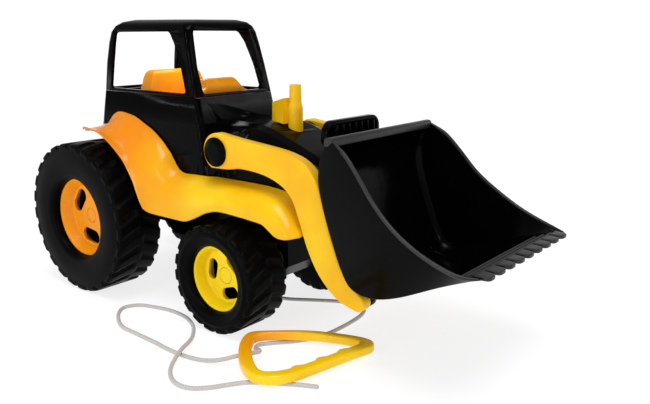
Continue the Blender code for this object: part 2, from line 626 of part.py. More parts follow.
def loader_arm(word, side):
    """One boomerang arm with a pivot eye and a blind bore for the bucket pin."""
    pivot_eye = arc(PIVOT, 18, 245, 80, 9)
    tip = arc(BUCKET_HINGE, BUCKET_EYE_R, 50, -110, 6)
    outline = catmull([pivot_eye[-1]] + ARM_TOP + [tip[0]], 1)[1:-1] + tip
    outline += catmull([tip[-1]] + ARM_UNDER + [pivot_eye[0]], 1)[1:-1] + pivot_eye
    low, high = sorted((side * ARM_IN, side * ARM_OUT))
    arm = prism(f"loader_arm_{word}", "side", [outline], low, high, yellow, loader, (PIVOT[0], 0, PIVOT[1]))
    soften(arm, 1.6, 2)
    cut(arm, bore(f"arm_eye_{word}", "Y", PIVOT, AXLE_R + GAP, low - 5, high + 5, vehicle))
    blind = sorted((side * (ARM_IN - 2), side * (ARM_OUT - 4)))
    cut(arm, bore(f"pin_bore_{word}", "Y", BUCKET_HINGE, 2.5 + GAP, *blind, vehicle))
    socket = sorted((side * 60, side * 68))
    cut(arm, bore(f"tube_socket_{word}", "Y", (316, 110), 5 + GAP, *socket, vehicle))
    return arm


def turned_across(name, centre, profile, material, parent, steps=16, closed=False):
    """A turned piece whose axis runs across the vehicle; heights are distances to the right."""
    return turned(name, profile, steps, (centre[0], 0, centre[1]), -1, material, parent, closed)


def rod_profile(radius, high, low):
    return [(0.0, high), (radius - 0.5, high), (radius, high - 0.7), (radius, low + 0.7),
            (radius - 0.5, low), (0.0, low)]


def loader_assembly():
    for word, side in (("right", -1), ("left", 1)):
        loader_arm(word, side)
        cap = [(0.0, 79.2), (9.0, 78.8), (12.8, 77.8), (14.2, 76.4), (14.2, ARM_OUT + GAP),
               (AXLE_R + GAP, ARM_OUT + GAP), (AXLE_R + GAP, 77.2), (0.0, 77.2)]
        turned(f"pivot_cap_{word}", cap, 28, (PIVOT[0], 0, PIVOT[1]), side, black, vehicle, closed=False)
    turned_across("pivot_shaft", PIVOT, rod_profile(AXLE_R, 76.8, -76.8), steel, vehicle)
    turned_across("arm_cross_tube", (316, 110), rod_profile(5.0, 67.5, -67.5), yellow, loader, 20)


def evenly(points, count):
    """The given number of points at equal distances along a line of points."""
    total = sum((b - a).length for a, b in zip(points, points[1:]))
    spots, walked = [points[0]], 0.0
    for a, b in zip(points, points[1:]):
        piece = (b - a).length
        while len(spots) < count - 1 and len(spots) * total / (count - 1) <= walked + piece:
            spots.append(a.lerp(b, (len(spots) * total / (count - 1) - walked) / piece))
        walked += piece
    return spots + [points[-1]]


def bucket_hull(name, inset, beyond, material):
    """The bucket as a solid block, each section from the back sheet out to the side plates' edge.

    inset moves the back sheet inwards and the side plates together; beyond carries the sections
    on past the free edge, so that an inset block cuts the bucket's room right through.
    """
    back = evenly([Vector((p.x, p.y, 0)) for p in catmull(BUCKET_BACK, 4)], BUCKET_SECTIONS)
    back = shifted([(p.x, p.y) for p in back], [inset] * len(back), False)
    edge = evenly([Vector(p) for p in catmull(BUCKET_SIDE_EDGE, 4)], BUCKET_SECTIONS)
    rings = []
    for low, free in zip(back, edge):
        reach = (Vector((free.x, free.z)) - low).length
        more = min(1 + beyond / reach, 2.0)
        half = BUCKET_HALF - inset + (free.y - BUCKET_HALF) * more
        far = (free.x + beyond * OUT_OF_BUCKET[0], free.z + beyond * OUT_OF_BUCKET[1])
        rings.append([(low.x, -BUCKET_HALF + inset, low.y), (far[0], -half, far[1]),
                      (far[0], half, far[1]), (low.x, BUCKET_HALF - inset, low.y)])
    return loft(name, rings, material, bucket_body, (BUCKET_HINGE[0], 0, BUCKET_HINGE[1]))


def bucket_piece():
    """Bucket: one curved sheet for back and floor, two side plates, rim bead, teeth and hinge ears."""
    piece = bucket_hull("bucket", 0.0, 0.0, black)
    cut(piece, bucket_hull("bucket_room", BUCKET_WALL, 14.0, None))
    bead = rounded([(325.5, 192.5, 2), (334.3, 192.5, 1), (334.8, 200, 2), (326.5, 200, 2)], 2)
    rim = prism("bucket_rim", "side", [bead], -BUCKET_HALF - 0.4, BUCKET_HALF + 0.4, None, vehicle)
    join(piece, rim)
    pitch = 2 * BUCKET_HALF / TOOTH_COUNT
    for number in range(TOOTH_COUNT):
        middle = -BUCKET_HALF + (number + 0.5) * pitch
        tooth = rounded([(466, middle - 0.42 * pitch, 0), (TOOTH_TIP_X, middle - 0.3 * pitch, 4),
                         (TOOTH_TIP_X, middle + 0.3 * pitch, 4), (466, middle + 0.42 * pitch, 0)], 3)
        join(piece, prism(f"tooth_{number}", "plan", [tooth], 107.2, 110.8, None, vehicle))
    for word, side in (("right", -1), ("left", 1)):
        ear = arc(BUCKET_HINGE, BUCKET_EYE_R - 1, 190, 350, 8)
        ear += [(378, 70.8), (374, 72), (356, 75.5), (346, 86)]
        low, high = sorted((side * 54.0, side * 61.5))
        join(piece, prism(f"ear_{word}", "side", [ear], low, high, None, vehicle))
        cut(piece, bore(f"ear_bore_{word}", "Y", BUCKET_HINGE, 2.5 + GAP, low - 5, high + 5, vehicle))
        profile = rod_profile(2.5, 70.5, 51.0)
        turned(f"bucket_pin_{word}", profile, 14, (BUCKET_HINGE[0], 0, BUCKET_HINGE[1]), side, steel,
               bucket_body, closed=False)
    return piece


def bucket_grip():
    """Ribbed grip behind the bucket's top rim, on two brackets against the bucket's back."""
    outline = rounded([(-41, 184, 6), (41, 184, 6), (41, 207, 11), (-41, 207, 11)], 3)
    grip = prism("bucket_grip", "front", [outline], 291, 299, black, bucket_body,
                 (BUCKET_HINGE[0], 0, BUCKET_HINGE[1]))
    for number in range(7):
        y = -28.5 + 9.5 * number
        join(grip, prism(f"grip_rib_{number}", "plan", [[(289, y - 1.4), (301, y - 1.4), (301, y + 1.4),
                                                        (289, y + 1.4)]], 187, 203, None, vehicle))
    back = [p for p in catmull(BUCKET_BACK, 2) if 166 < p[1] < 192]
    bracket = [(p[0] - GAP, p[1]) for p in back] + [(296, 185.5), (296, 192)]
    for word, low, high in (("right", -30, -24), ("left", 24, 30)):
        join(grip, prism(f"bracket_{word}", "side", [bracket], low, high, None, vehicle))
    return grip


# ---------------------------------------------------------------- cord and handle

def handle_opening():
    """Outline of the finger opening, with three low bumps on its front side."""
    opening = catmull(HANDLE_OPENING, 3, closed=True)
    for point in opening:
        if point.x > 322 and -135 < point.y < -62:
            turn = (point.y - FINGER_FIRST_Y) / FINGER_PITCH * 2 * math.pi
            point.x -= FINGER_BUMP * max(0.0, math.cos(turn))
    return opening


def pull_handle():
    outline = catmull(HANDLE_OUTLINE, 3, closed=True)
    handle = prism("pull_handle", "plan", [outline, handle_opening()], HANDLE_LOW, HANDLE_HIGH, orange,
                   vehicle)
    across = Vector((277.5, -125, 8.9)) - Vector((272.5, -135, 8.8))
    way = bore("cord_way", "Z", (0, 0), CORD_R + 0.8, -12, 12, vehicle)
    aim = Vector((0, 0, 1)).rotation_difference(across)
    way.data.transform(aim.to_matrix().to_4x4())
    way.location = Vector((275, -130, 8.85)) * MM
    cut(handle, way)
    return handle


def cord_points():
    """Evenly spaced points along a smooth curve through the route."""
    fine = catmull(CORD_ROUTE, 12)
    total = sum((b - a).length for a, b in zip(fine, fine[1:]))
    count = round(total / CORD_STEP)
    spots, walked, target = [fine[0]], 0.0, total / count
    for a, b in zip(fine, fine[1:]):
        piece = (b - a).length
        while target <= walked + piece + 1e-9 and len(spots) < count:
            spots.append(a.lerp(b, (target - walked) / piece))
            target += total / count
        walked += piece
    return spots + [fine[-1]]


def pull_cord():
    curve = bpy.data.curves.new("pull_cord", "CURVE")
    curve.dimensions = "3D"
    curve.bevel_depth = CORD_R
    curve.bevel_resolution = 2
    curve.use_fill_caps = True
    points = cord_points()
    spline = curve.splines.new("POLY")
    spline.points.add(len(points) - 1)
    for spot, point in zip(spline.points, points):
        spot.co = (*point, 1)
    from_mesh("pull_cord", curve_mesh("pull_cord", curve), cord_white, vehicle, (0, 0, 0))


def tow_knot():
    """Stopper knot inside the base frame, on the floor of the tub."""
    profile = [(0.0, 60.5), (4.2, 59.6), (6.2, 57.0), (6.4, 54.2), (4.6, 51.2), (2.0, 50.4), (0.0, 50.4)]
    turned("tow_knot", profile, 14, (178, 0, 0), 0, cord_white, vehicle, closed=False)


# ---------------------------------------------------------------- build

clear_scene()
collections = {}
for key, title in (("vehicle", "toy_loader"), ("cutters", "cutters")):
    collections[key] = bpy.data.collections.new(title)
    bpy.context.scene.collection.children.link(collections[key])

yellow = plastic("yellow_plastic", (0.90, 0.50, 0.01))
orange = plastic("orange_plastic", (0.88, 0.36, 0.01))
black = plastic("black_plastic", (0.008, 0.008, 0.010), 0.22)
rubber = plastic("tyre_plastic", (0.012, 0.012, 0.013), 0.45)
steel = plastic("steel", (0.55, 0.55, 0.56), 0.3, 1.0)
cord_white = plastic("cord_white", (0.62, 0.60, 0.57), 0.8)

vehicle = empty("vehicle", (0, 0, 0))
vehicle.location.x = REAR_AXLE_X * MM
loader = empty("loader", (PIVOT[0], 0, PIVOT[1]), vehicle)
bucket_body = empty("bucket_hinge", (BUCKET_HINGE[0], 0, BUCKET_HINGE[1]), loader)

wheel_set("rear", 0.0, REAR_TYRE_R, REAR_TYRE_IN, REAR_TYRE_OUT, REAR_BORE_R, REAR_RIM_H, REAR_DISC_H,
          (30.0, 15.5, 24.5, (143, -97, 23)), 40)
wheel_set("front", WHEELBASE, FRONT_TYRE_R, FRONT_TYRE_IN, FRONT_TYRE_OUT, FRONT_BORE_R, FRONT_RIM_H,
          FRONT_DISC_H, (22.0, 12.0, 17.7, (168, -72, 48)), 32)
fender_moulding()
base_frame()
screws()
body_shell()
cab_frame()
seat()
dashboard()
hood_fittings()
loader_assembly()
bucket_piece()
bucket_grip()
pull_handle()
pull_cord()
tow_knot()
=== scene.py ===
"""Toy front loader with a pull cord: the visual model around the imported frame.

Shapes are made in vehicle millimetres (X forward from the rear axle, Y to the left, Z up from the
floor) and moved to the row frame, in metres, when each piece is finished.
"""

import math

import bmesh
import bpy
from mathutils import Matrix, Vector


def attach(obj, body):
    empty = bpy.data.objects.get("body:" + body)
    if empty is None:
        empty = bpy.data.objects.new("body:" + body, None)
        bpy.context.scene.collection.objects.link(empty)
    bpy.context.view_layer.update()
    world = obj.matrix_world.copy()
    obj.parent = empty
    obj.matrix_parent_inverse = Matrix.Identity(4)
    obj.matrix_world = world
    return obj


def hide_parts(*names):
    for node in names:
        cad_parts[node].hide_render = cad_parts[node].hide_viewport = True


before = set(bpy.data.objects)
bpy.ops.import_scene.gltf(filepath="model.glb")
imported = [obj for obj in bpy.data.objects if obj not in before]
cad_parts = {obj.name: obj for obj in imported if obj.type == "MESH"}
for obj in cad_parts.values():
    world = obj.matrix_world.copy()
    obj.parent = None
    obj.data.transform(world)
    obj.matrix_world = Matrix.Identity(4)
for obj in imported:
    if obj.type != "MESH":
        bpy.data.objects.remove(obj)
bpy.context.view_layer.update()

# Camera: place in metres, turn and lift in degrees, lens and sensor in millimetres, shift
CAMERA_PLACE = (0.5023, -0.5411, 0.29)
CAMERA_TURN, CAMERA_LIFT = 38.625, 14.288
CAMERA_LENS, CAMERA_SENSOR = 40.1, 36
CAMERA_SHIFT = (-0.0061, 0.0121)

# Studio: strengths, the sun's direction and width in degrees, the sweep's size in metres
WORLD_LIGHT = 0.46
SUN_LIGHT, SUN_WIDTH, SUN_WAY = 1.3, 25, (-0.2, 0.16, -1.0)
SWEEP_REACH, SWEEP_RISE, SWEEP_SIDES = 30, 6.5, 64
SWEEP_DARK, SWEEP_LIGHT, SWEEP_GLOW = 0.24, 0.26, 0.8
# Area lights: name, place, target and size in metres, power in watts
AREA_LIGHTS = [
    ("side_strip", (0.15, -1.5, 0.55), (0, 0, 0.15), (0.012, 1.3), 6),
    ("front_box", (1.5, -0.35, 1.0), (0.1, 0, 0.12), (0.3, 0.3), 2),
    ("cab_fill", (-0.13, 0, 0.284), (-0.13, 0, 0.2), (0.05, 0.07), 0.07),
]

# Moulded plastic: noise scales per metre, and how deep the sink marks and the orange peel are in metres
CLOUD_SCALE, SCRATCH_SCALE, PATCH_SCALE, SMEAR_SCALE = 16, 60, 9, 45
SINK_SCALE, SINK_DEPTH = 30, 0.0004
PEEL_SCALE, PEEL_DEPTH = 700, 0.00005
PLASTIC_DEPTH = (0.004, 0.002, 0.0005)

# A Mix node's sockets for colours, by their order
MIX_FACTOR, MIX_FIRST, MIX_SECOND, MIX_RESULT = 0, 6, 7, 2

# Vehicle frame: millimetres from the rear axle to the row frame's metres; gap between fitted pieces
REAR_AXLE_X = -198.3
ROW = Matrix.Translation((REAR_AXLE_X * 0.001, 0, 0)) @ Matrix.Scale(0.001, 4)
GAP = 0.35
SIDES = (("right", -1), ("left", 1))

# Wheels: axle's place, radius, inner and outer face, bore, rim edge, disc, lug count, slot (length,
# width, distance from the axle) and the slots' angles
WHEELS = {
    "rear": dict(x=0.0, radius=83.3, inner=58.0, outer=115.0, bore=44.0, rim=104.0, disc=92.3, lugs=25,
                 slot=(30.0, 15.5, 24.5), angles=(143, -97, 23)),
    "front": dict(x=205.7, radius=54.0, inner=49.5, outer=103.5, bore=33.0, rim=95.0, disc=83.0, lugs=19,
                  slot=(22.0, 12.0, 17.7), angles=(168, -72, 48)),
}
AXLE_R = 4.0
HUB_BOSS_R = 10.0
HUB_BOSS_END = 50.0
HUB_BARREL, HUB_WALL, HUB_SEAT = 12.0, 3.0, 6.5
HUB_CAP_R = 8.0
LUG_DEPTH, LUG_STEPS = 2.6, 14
LUG_SHOULDER, LUG_NOTCH = 5.0, 1.7
LUG_RIDGE, LUG_EDGE, LUG_SHARE, LUG_SWEEP = 0.075, 0.07, 0.58, 0.55

SEAM_Z = 219.4
ROOF_Z = 296.0
WALL, FENDER_WALL, CAB_WALL = 2.5, 2.6, 3.6
STACK_X, STACK_R = 226, 7.4
SEAT_HALF = 40.3
PIVOT = (190.0, 173.0)
PIVOT_PLACE = (PIVOT[0], 0, PIVOT[1])
ARM_IN, ARM_OUT = 63.0, 75.0
BUCKET_HINGE = (357.5, 60.0)
BUCKET_HINGE_PLACE = (BUCKET_HINGE[0], 0, BUCKET_HINGE[1])
BUCKET_EYE_R = 8.0
BUCKET_HALF = 79.0
BUCKET_WALL = 3.0
CORNER_FILLET = 8.0
CORNER_STEPS = 6
HANDLE_LOW, HANDLE_HIGH = 4.5, 13.3
CORD_R = 2.0
CORD_SIDES, CORD_STEP, BRAID_TURN = 16, 0.7, 11.0
KNOT_R, KNOT_STEP, KNOT_PLACE, KNOT_SIZE = 1.95, 0.6, (178, 0, 55.4), (1.45, 1.45, 2.9)
DECK_Z = 137.0
LEAN_Z = 165.0
REAR_ARCH_R = 93.0

# Outlines, as (x, z) seen from the side, (x, half width) or (x, y) seen from above
HOOD_TOP = [
    (130, 196), (180, 197), (215, 194), (243, 184.5), (262, 177.5), (278, 171), (288, 164)]
ROOT_TOP = [
    (-9, 182.5), (-3, 183.5), (2, 186), (6, 190.5), (11, 195), (20, 198), (34, 197.5), (48, 194.8),
    (62, 189.3), (76, 183.5), (85, 178.4), (93.5, 172.9), (100.3, 167.3), (106.6, 161.6),
    (111, 155.8), (115.5, 149.8), (121, 144.6), (128, 142.5), (142, 143), (180, 144), (240, 144),
    (258, 142), (270, 138), (283, 127), (295, 113)]
LIP_LOW = [
    (-9, 178.5), (0, 180.8), (8, 180.5), (24, 178.5), (38, 173), (46, 168.5), (57, 160.7),
    (68, 151.5), (75.5, 141), (81, 131.5), (85, 121), (89, 111.5), (92.5, 105), (98, 102),
    (106, 100.5), (135, 99), (150, 99.5), (162, 103.5), (172, 108), (184, 113.5), (200, 117.5),
    (230, 117.3), (248, 116.3), (260, 115), (268, 110.5), (275.5, 106.3), (284, 105.3), (295, 107)]
LIP_HALF = [
    (-9, 89), (0, 93), (67, 94), (90, 92), (110, 88), (135, 85), (180, 86), (260, 87), (286, 86),
    (291, 82), (295, 76)]
# Flank of the fender, from its inner top (0, 0) to its lip (1, 1): full, hollow, and at the tail
FLARE_START_X, FLARE_END_X = 55.0, 105.0
ROUND_FLANK = [(0.40, 0.08), (0.75, 0.28), (0.95, 0.60)]
OGEE_FLANK = [(0.20, 0.14), (0.48, 0.58), (0.78, 0.86)]
TAIL_FLANK = [(0.20, 0.55), (0.48, 0.82), (0.78, 0.95)]
TAIL_START_X, TAIL_END_X = 36.0, 8.0
# Cab: height, rear, front, half width and corner radius of each level
CAB_LEVELS = [
    (SEAM_Z + GAP, -12.6, 144.3, 55.3, 6.0), (250, -9.2, 137.0, 53.6, 6.0),
    (272, -5.2, 131.6, 51.9, 6.5), (283, -2.4, 129.0, 50.4, 7.0), (289.5, 2.0, 126.6, 48.0, 8.0),
    (293.6, 9.0, 123.0, 44.0, 9.0), (ROOF_Z, 20.0, 116.0, 37.0, 12.0)]
ARM_TOP = [
    (203, 189.5), (220, 187.5), (236, 186), (267, 183), (284, 180), (298, 175), (308, 167),
    (316, 155), (322, 137), (330, 112), (340, 89), (350, 75)]
ARM_UNDER = [
    (343, 55.5), (331, 61.5), (315, 77), (303, 97), (293.5, 121), (285, 140), (272, 151), (250, 158),
    (222, 160), (205, 157.5)]
BUCKET_BACK = [
    (329, 197), (322, 184), (318.5, 163), (324, 138), (333, 113), (343, 89), (354, 73.5), (374, 69.5),
    (400, 76), (440, 94.5), (465, 105), (474, 108)]
BUCKET_SIDE_EDGE = [
    (333, 79, 197.5), (349.5, 82.5, 187.5), (364, 85, 173), (383, 88, 152), (405, 91.5, 135),
    (430, 92, 121), (458, 90, 111), (475, 82, 109.4)]
BUCKET_SECTIONS = 72
OUT_OF_BUCKET = (0.53, 0.85)
LIP_RIDGES = [(451, 102.3), (458, 105.2), (465, 108.0)]
TOOTH_COUNT = 9
TOOTH_ROOT_X, TOOTH_TIP_X = 468.0, 480.0
HANDLE_OUTLINE = [
    (251, -98), (260, -119), (281, -141), (301, -154), (317, -157), (331, -149), (340, -133),
    (345, -113), (349, -92), (354, -68), (358, -50), (352, -41), (338, -41), (314, -49), (290, -61),
    (266, -80)]
HANDLE_OPENING = [
    (261.5, -98), (269.5, -113), (288, -131), (303, -142), (314, -146), (323, -140), (330, -127),
    (335, -109), (339, -89), (343, -68), (345.5, -55), (339.5, -50.3), (317, -57), (293.5, -68.3),
    (271.5, -84.7)]
FINGER_PITCH, FINGER_FIRST_Y, FINGER_BUMP = 24.5, -74.0, 2.8
# Cord, from the hole in the base frame to its bare end, through the handle after point AT_HANDLE;
# points with no height lie on the floor
AT_HANDLE = 22
CORD_FLOOR = 2.1
CORD_ROUTE = [
    (178, 0, 46), (178, 0, 36), (178.3, 0.2, 26), (180, 0.8, 16), (184.5, 2, 8), (192, 4, 3.2),
    (205, 8), (228, 22), (252, 36), (272, 41), (287, 35), (294, 20), (296.5, 0), (297, -18), (296, -36),
    (291, -55), (281, -71), (268, -86), (261.5, -96.5), (265.5, -104.5, 2.4), (273.5, -108, 4.8),
    (280.8, -116.5, 8.2), (277.5, -125, 8.9), (272.5, -135, 8.8), (265, -142.5, 6.4), (254, -148, 3.6),
    (240, -152), (222, -155), (203, -155), (180, -153), (150, -151.5), (128, -150), (110, -142),
    (94, -130), (86.5, -117), (94, -104), (112, -97), (133, -93), (157, -95), (180, -105),
    (198, -121, 2.5), (210, -136, 4.6), (219.5, -152, 6.5), (227, -166, 4.9), (236, -179, 2.6),
    (249, -189), (263, -193.5), (276, -191), (287, -181), (295.5, -168), (305, -155), (320, -144),
    (342, -131), (357, -124)]
CORD_ROUTE = [(x, y, *(z or [CORD_FLOOR])) for x, y, *z in CORD_ROUTE]

# Drawing planes: "side" draws (x, z), "plan" draws (x, y), "front" draws (y, z)
PLANES = {
    "side": Matrix(((1, 0, 0, 0), (0, 0, -1, 0), (0, 1, 0, 0), (0, 0, 0, 1))),
    "plan": Matrix.Identity(4),
    "front": Matrix(((0, 0, 1, 0), (1, 0, 0, 0), (0, 1, 0, 0), (0, 0, 0, 1))),
}
DEPTH = {"side": Vector((0, 1, 0)), "plan": Vector((0, 0, 1)), "front": Vector((1, 0, 0))}


# ---- camera, light and floor

def camera():
    """From the front right, 14 degrees above the floor."""
    data = bpy.data.cameras.new("camera")
    data.sensor_width = CAMERA_SENSOR
    data.lens = CAMERA_LENS
    data.shift_x, data.shift_y = CAMERA_SHIFT
    data.clip_start = 0.01
    obj = bpy.data.objects.new("camera", data)
    obj.matrix_world = (Matrix.Translation(CAMERA_PLACE)
                        @ Matrix.Rotation(math.radians(CAMERA_TURN), 4, "Z")
                        @ Matrix.Rotation(math.radians(90 - CAMERA_LIFT), 4, "X"))
    bpy.context.scene.collection.objects.link(obj)
    bpy.context.scene.camera = obj


def aimed(name, light, way):
    """A light as an object that shines along a direction."""
    obj = bpy.data.objects.new(name, light)
    obj.rotation_euler = Vector(way).to_track_quat("-Z", "Y").to_euler()
    bpy.context.scene.collection.objects.link(obj)
    return obj


def area_light(name, place, target, size, power):
    """Rectangular light at a place, aimed at a target."""
    light = bpy.data.lights.new(name, "AREA")
    light.shape = "RECTANGLE"
    light.size, light.size_y = size
    light.energy = power
    aimed(name, light, Vector(target) - Vector(place)).location = place


def sweep():
    """Pale floor disc that turns up into a wall beyond the horizon."""
    angles = [2 * math.pi * k / SWEEP_SIDES for k in range(SWEEP_SIDES)]
    points = [(SWEEP_REACH * math.cos(a), SWEEP_REACH * math.sin(a), z)
              for z in (0, SWEEP_RISE) for a in angles]
    wall = [(k, (k + 1) % SWEEP_SIDES, (k + 1) % SWEEP_SIDES + SWEEP_SIDES, k + SWEEP_SIDES)
            for k in range(SWEEP_SIDES)]
    mesh = bpy.data.meshes.new("floor")
    mesh.from_pydata(points, [], [list(range(SWEEP_SIDES))] + wall)
    mesh.materials.append(floor_material())
    floor = bpy.data.objects.new("floor", mesh)
    bpy.context.scene.collection.objects.link(floor)


def studio():
    """White sweep under an even white sky, one soft sun and small fill lights."""
    scene = bpy.context.scene
    scene.view_settings.view_transform = "Standard"
    world = bpy.data.worlds.new("studio")
    scene.world = world
    world.use_nodes = True
    sky = world.node_tree.nodes["Background"]
    sky.inputs["Color"].default_value = (1, 1, 1, 1)
    sky.inputs["Strength"].default_value = WORLD_LIGHT
    sweep()
    sun = bpy.data.lights.new("sun", "SUN")
    sun.energy = SUN_LIGHT
    sun.angle = math.radians(SUN_WIDTH)
    aimed("sun", sun, SUN_WAY)
    for light in AREA_LIGHTS:
        area_light(*light)


# ---- materials

def fill(tree, node, values):
    """Give a node's inputs their values, each a number, a colour or another node's output."""
    for key, value in values.items():
        socket = node.inputs[key]
        if isinstance(value, bpy.types.NodeSocket):
            tree.links.new(value, socket)
        else:
            socket.default_value = (*value, 1) if socket.type == "RGBA" else value


def added(tree, kind, values, **settings):
    """A new shader node of a kind, with its settings and its inputs."""
    node = tree.nodes.new("ShaderNode" + kind)
    for key, value in settings.items():
        setattr(node, key, value)
    fill(tree, node, values)
    return node


def place_in(tree):
    """A point's place in the piece's own coordinates, in metres."""
    return added(tree, "TexCoord", {}).outputs["Object"]


def noise(tree, scale, detail, rough=0.55, stretch=None):
    """Noise from 0 to 1, finer along an axis where stretch is larger."""
    place = place_in(tree)
    if stretch:
        place = added(tree, "Mapping", {"Vector": place, "Scale": stretch}).outputs["Vector"]
    return added(tree, "TexNoise", {"Vector": place, "Scale": scale, "Detail": detail,
                                    "Roughness": rough}).outputs["Fac"]


def ranged(tree, value, low, high, to_low=0, to_high=1):
    """The value, clamped to low and high and carried to a new range."""
    return added(tree, "MapRange", {"Value": value, "From Min": low, "From Max": high,
                                    "To Min": to_low, "To Max": to_high}).outputs["Result"]


def clouds(tree, scale, detail, to_low=0, to_high=1):
    """Soft-edged noise over a whole range."""
    return ranged(tree, noise(tree, scale, detail), 0.3, 0.7, to_low, to_high)


def plus(tree, a, b):
    return added(tree, "Math", {0: a, 1: b}, operation="ADD").outputs[0]


def times(tree, a, b):
    return added(tree, "Math", {0: a, 1: b}, operation="MULTIPLY").outputs[0]


def mixed(tree, factor, first, second):
    """First colour where the factor is 0, second where it is 1."""
    values = {MIX_FACTOR: factor, MIX_FIRST: first, MIX_SECOND: second}
    return added(tree, "Mix", values, data_type="RGBA").outputs[MIX_RESULT]


def bumped(tree, *layers):
    """Bumps one over the other, each as (height, depth in metres)."""
    values = {}
    for height, depth in layers:
        bump = added(tree, "Bump", {"Height": height, "Strength": 1.0, "Distance": depth, **values})
        values = {"Normal": bump.outputs["Normal"]}
    return bump.outputs["Normal"]


def groove_depth(tree):
    """How deep a point lies in a groove, 0 to 1, as the mesh says."""
    return added(tree, "Attribute", {}, attribute_name="groove").outputs["Fac"]


def new_material(name):
    """A material and its node tree."""
    material = bpy.data.materials.new(name)
    material.use_nodes = True
    return material, material.node_tree


def finished(material, **values):
    """The material, once its shader's inputs have their values; Base_Color is Base Color."""
    tree = material.node_tree
    fill(tree, tree.nodes["Principled BSDF"], {key.replace("_", " "): v for key, v in values.items()})
    return material


def moulded(name, dark, light, gloss, specular, painted_front_light=None, scuff=0.35, subsurface=0.0):
    """Injection-moulded plastic: cloudy pigment, orange peel, sink ripples and fine handling scuffs.

    The optional tuple (dark, light, x from, x to) is painted light: along the vehicle, towards the front
    where the light falls stronger, the colour turns to those brighter, yellower colours.
    """
    material, tree = new_material(name)
    cloud = clouds(tree, CLOUD_SCALE, 4)
    colour = mixed(tree, cloud, dark, light)
    # Painted light: a brighter, yellower copy of the colour towards the front of the vehicle
    if painted_front_light:
        painted_lit_dark, painted_lit_light, start, end = painted_front_light
        x = added(tree, "SeparateXYZ", {0: place_in(tree)}).outputs["X"]
        painted_lit_colour = mixed(tree, cloud, painted_lit_dark, painted_lit_light)
        colour = mixed(tree, ranged(tree, x, start, end), colour, painted_lit_colour)
    scratch = ranged(tree, noise(tree, SCRATCH_SCALE, 2, 0.4, (1, 26, 22)), 0.62, 0.7)
    patch = ranged(tree, noise(tree, PATCH_SCALE, 2), 0.5, 0.62)
    scuffs = times(tree, times(tree, scratch, patch), scuff)
    scuffed = tuple(min(1.0, c * 1.35 + 0.03) for c in light)
    smear = clouds(tree, SMEAR_SCALE, 4, gloss - 0.04, gloss + 0.06)
    return finished(material, Base_Color=mixed(tree, scuffs, colour, scuffed),
                    Roughness=plus(tree, smear, times(tree, scuffs, 0.3)), Specular_IOR_Level=specular,
                    Subsurface_Weight=subsurface, Subsurface_Radius=PLASTIC_DEPTH, Subsurface_Scale=1.0,
                    Normal=bumped(tree, (noise(tree, SINK_SCALE, 2), SINK_DEPTH),
                                  (noise(tree, PEEL_SCALE, 2), PEEL_DEPTH)))


def tyre_material():
    """Satin black moulding, greyer and duller with floor dust down in the tread's grooves."""
    material, tree = new_material("tyre_plastic")
    dust = ranged(tree, noise(tree, 55, 5), 0.38, 0.72, 0.1, 1)
    deposit = times(tree, groove_depth(tree), dust)
    cloud = clouds(tree, 22, 4)
    base = mixed(tree, cloud, (0.0010, 0.0010, 0.0012), (0.0020, 0.0020, 0.0022))
    smear = clouds(tree, 80, 4, 0.3, 0.42)
    return finished(material, Base_Color=mixed(tree, times(tree, deposit, 0.3), base, (0.022, 0.021, 0.019)),
                    Roughness=plus(tree, smear, times(tree, deposit, 0.25)), Specular_IOR_Level=0.03,
                    Normal=bumped(tree, (noise(tree, 420, 3), 0.0001)))


def steel_material():
    """Bright zinc plate with turning marks and a little tarnish."""
    material, tree = new_material("zinc_steel")
    tarnish = ranged(tree, noise(tree, 120, 5), 0.35, 0.7)
    return finished(material, Base_Color=mixed(tree, tarnish, (0.62, 0.62, 0.64), (0.42, 0.41, 0.38)),
                    Metallic=1.0, Roughness=ranged(tree, tarnish, 0, 1, 0.22, 0.42),
                    Normal=bumped(tree, (noise(tree, 900, 2, 0.5, (1, 9, 1)), 0.00005)))


def cord_material():
    """Braided polyester: light strands with painted shade darkening the valleys between them, and a soft
    sheen.
    """
    material, tree = new_material("cord_braid")
    fibre = clouds(tree, 1500, 3)
    soil = ranged(tree, noise(tree, 18, 4), 0.45, 0.75)
    strands = mixed(tree, fibre, (0.50, 0.47, 0.45), (0.64, 0.60, 0.58))
    # Painted shade: the strands turn darker down in the braid's valleys
    painted_valley_shade = mixed(tree, times(tree, groove_depth(tree), 0.6), strands, (0.33, 0.31, 0.28))
    return finished(material, Base_Color=mixed(tree, times(tree, soil, 0.3), painted_valley_shade, (0.50, 0.46, 0.40)),
                    Roughness=ranged(tree, fibre, 0, 1, 0.7, 0.9), Sheen_Weight=0.3,
                    Specular_IOR_Level=0.2, Normal=bumped(tree, (fibre, 0.00012)))


def floor_material():
    """Matt white studio sweep with a barely visible paper grain."""
    material, tree = new_material("sweep")
    grain = clouds(tree, 240, 3)
    return finished(material, Base_Color=mixed(tree, grain, (SWEEP_DARK,) * 3, (SWEEP_LIGHT,) * 3),
                    Emission_Color=(1, 1, 1), Emission_Strength=SWEEP_GLOW, Roughness=0.7,
                    Specular_IOR_Level=0.15)


# ---- curves and tables

def ramp(value, start, end):
    """0 at start and 1 at end, straight between them and flat beyond."""
    return min(max((value - start) / (end - start), 0), 1)


def smooth(share):
    """A share from 0 to 1 that starts and ends gently."""
    return share * share * (3 - 2 * share)


def along(table, x):
    """Height or width at x, on a smooth curve through the table's points."""
    if x <= table[0][0]:
        return table[0][1]
    if x >= table[-1][0]:
        return table[-1][1]
    i = max(k for k in range(len(table) - 1) if table[k][0] <= x)

    def slope(k):
        a, b = table[max(k - 1, 0)], table[min(k + 1, len(table) - 1)]
        return (b[1] - a[1]) / (b[0] - a[0])

    (x0, y0), (x1, y1) = table[i], table[i + 1]
    span = x1 - x0
    t = (x - x0) / span
    h00, h10 = 2 * t**3 - 3 * t**2 + 1, t**3 - 2 * t**2 + t
    return h00 * y0 + h10 * span * slope(i) + (1 - h00) * y1 + (t**3 - t**2) * span * slope(i + 1)


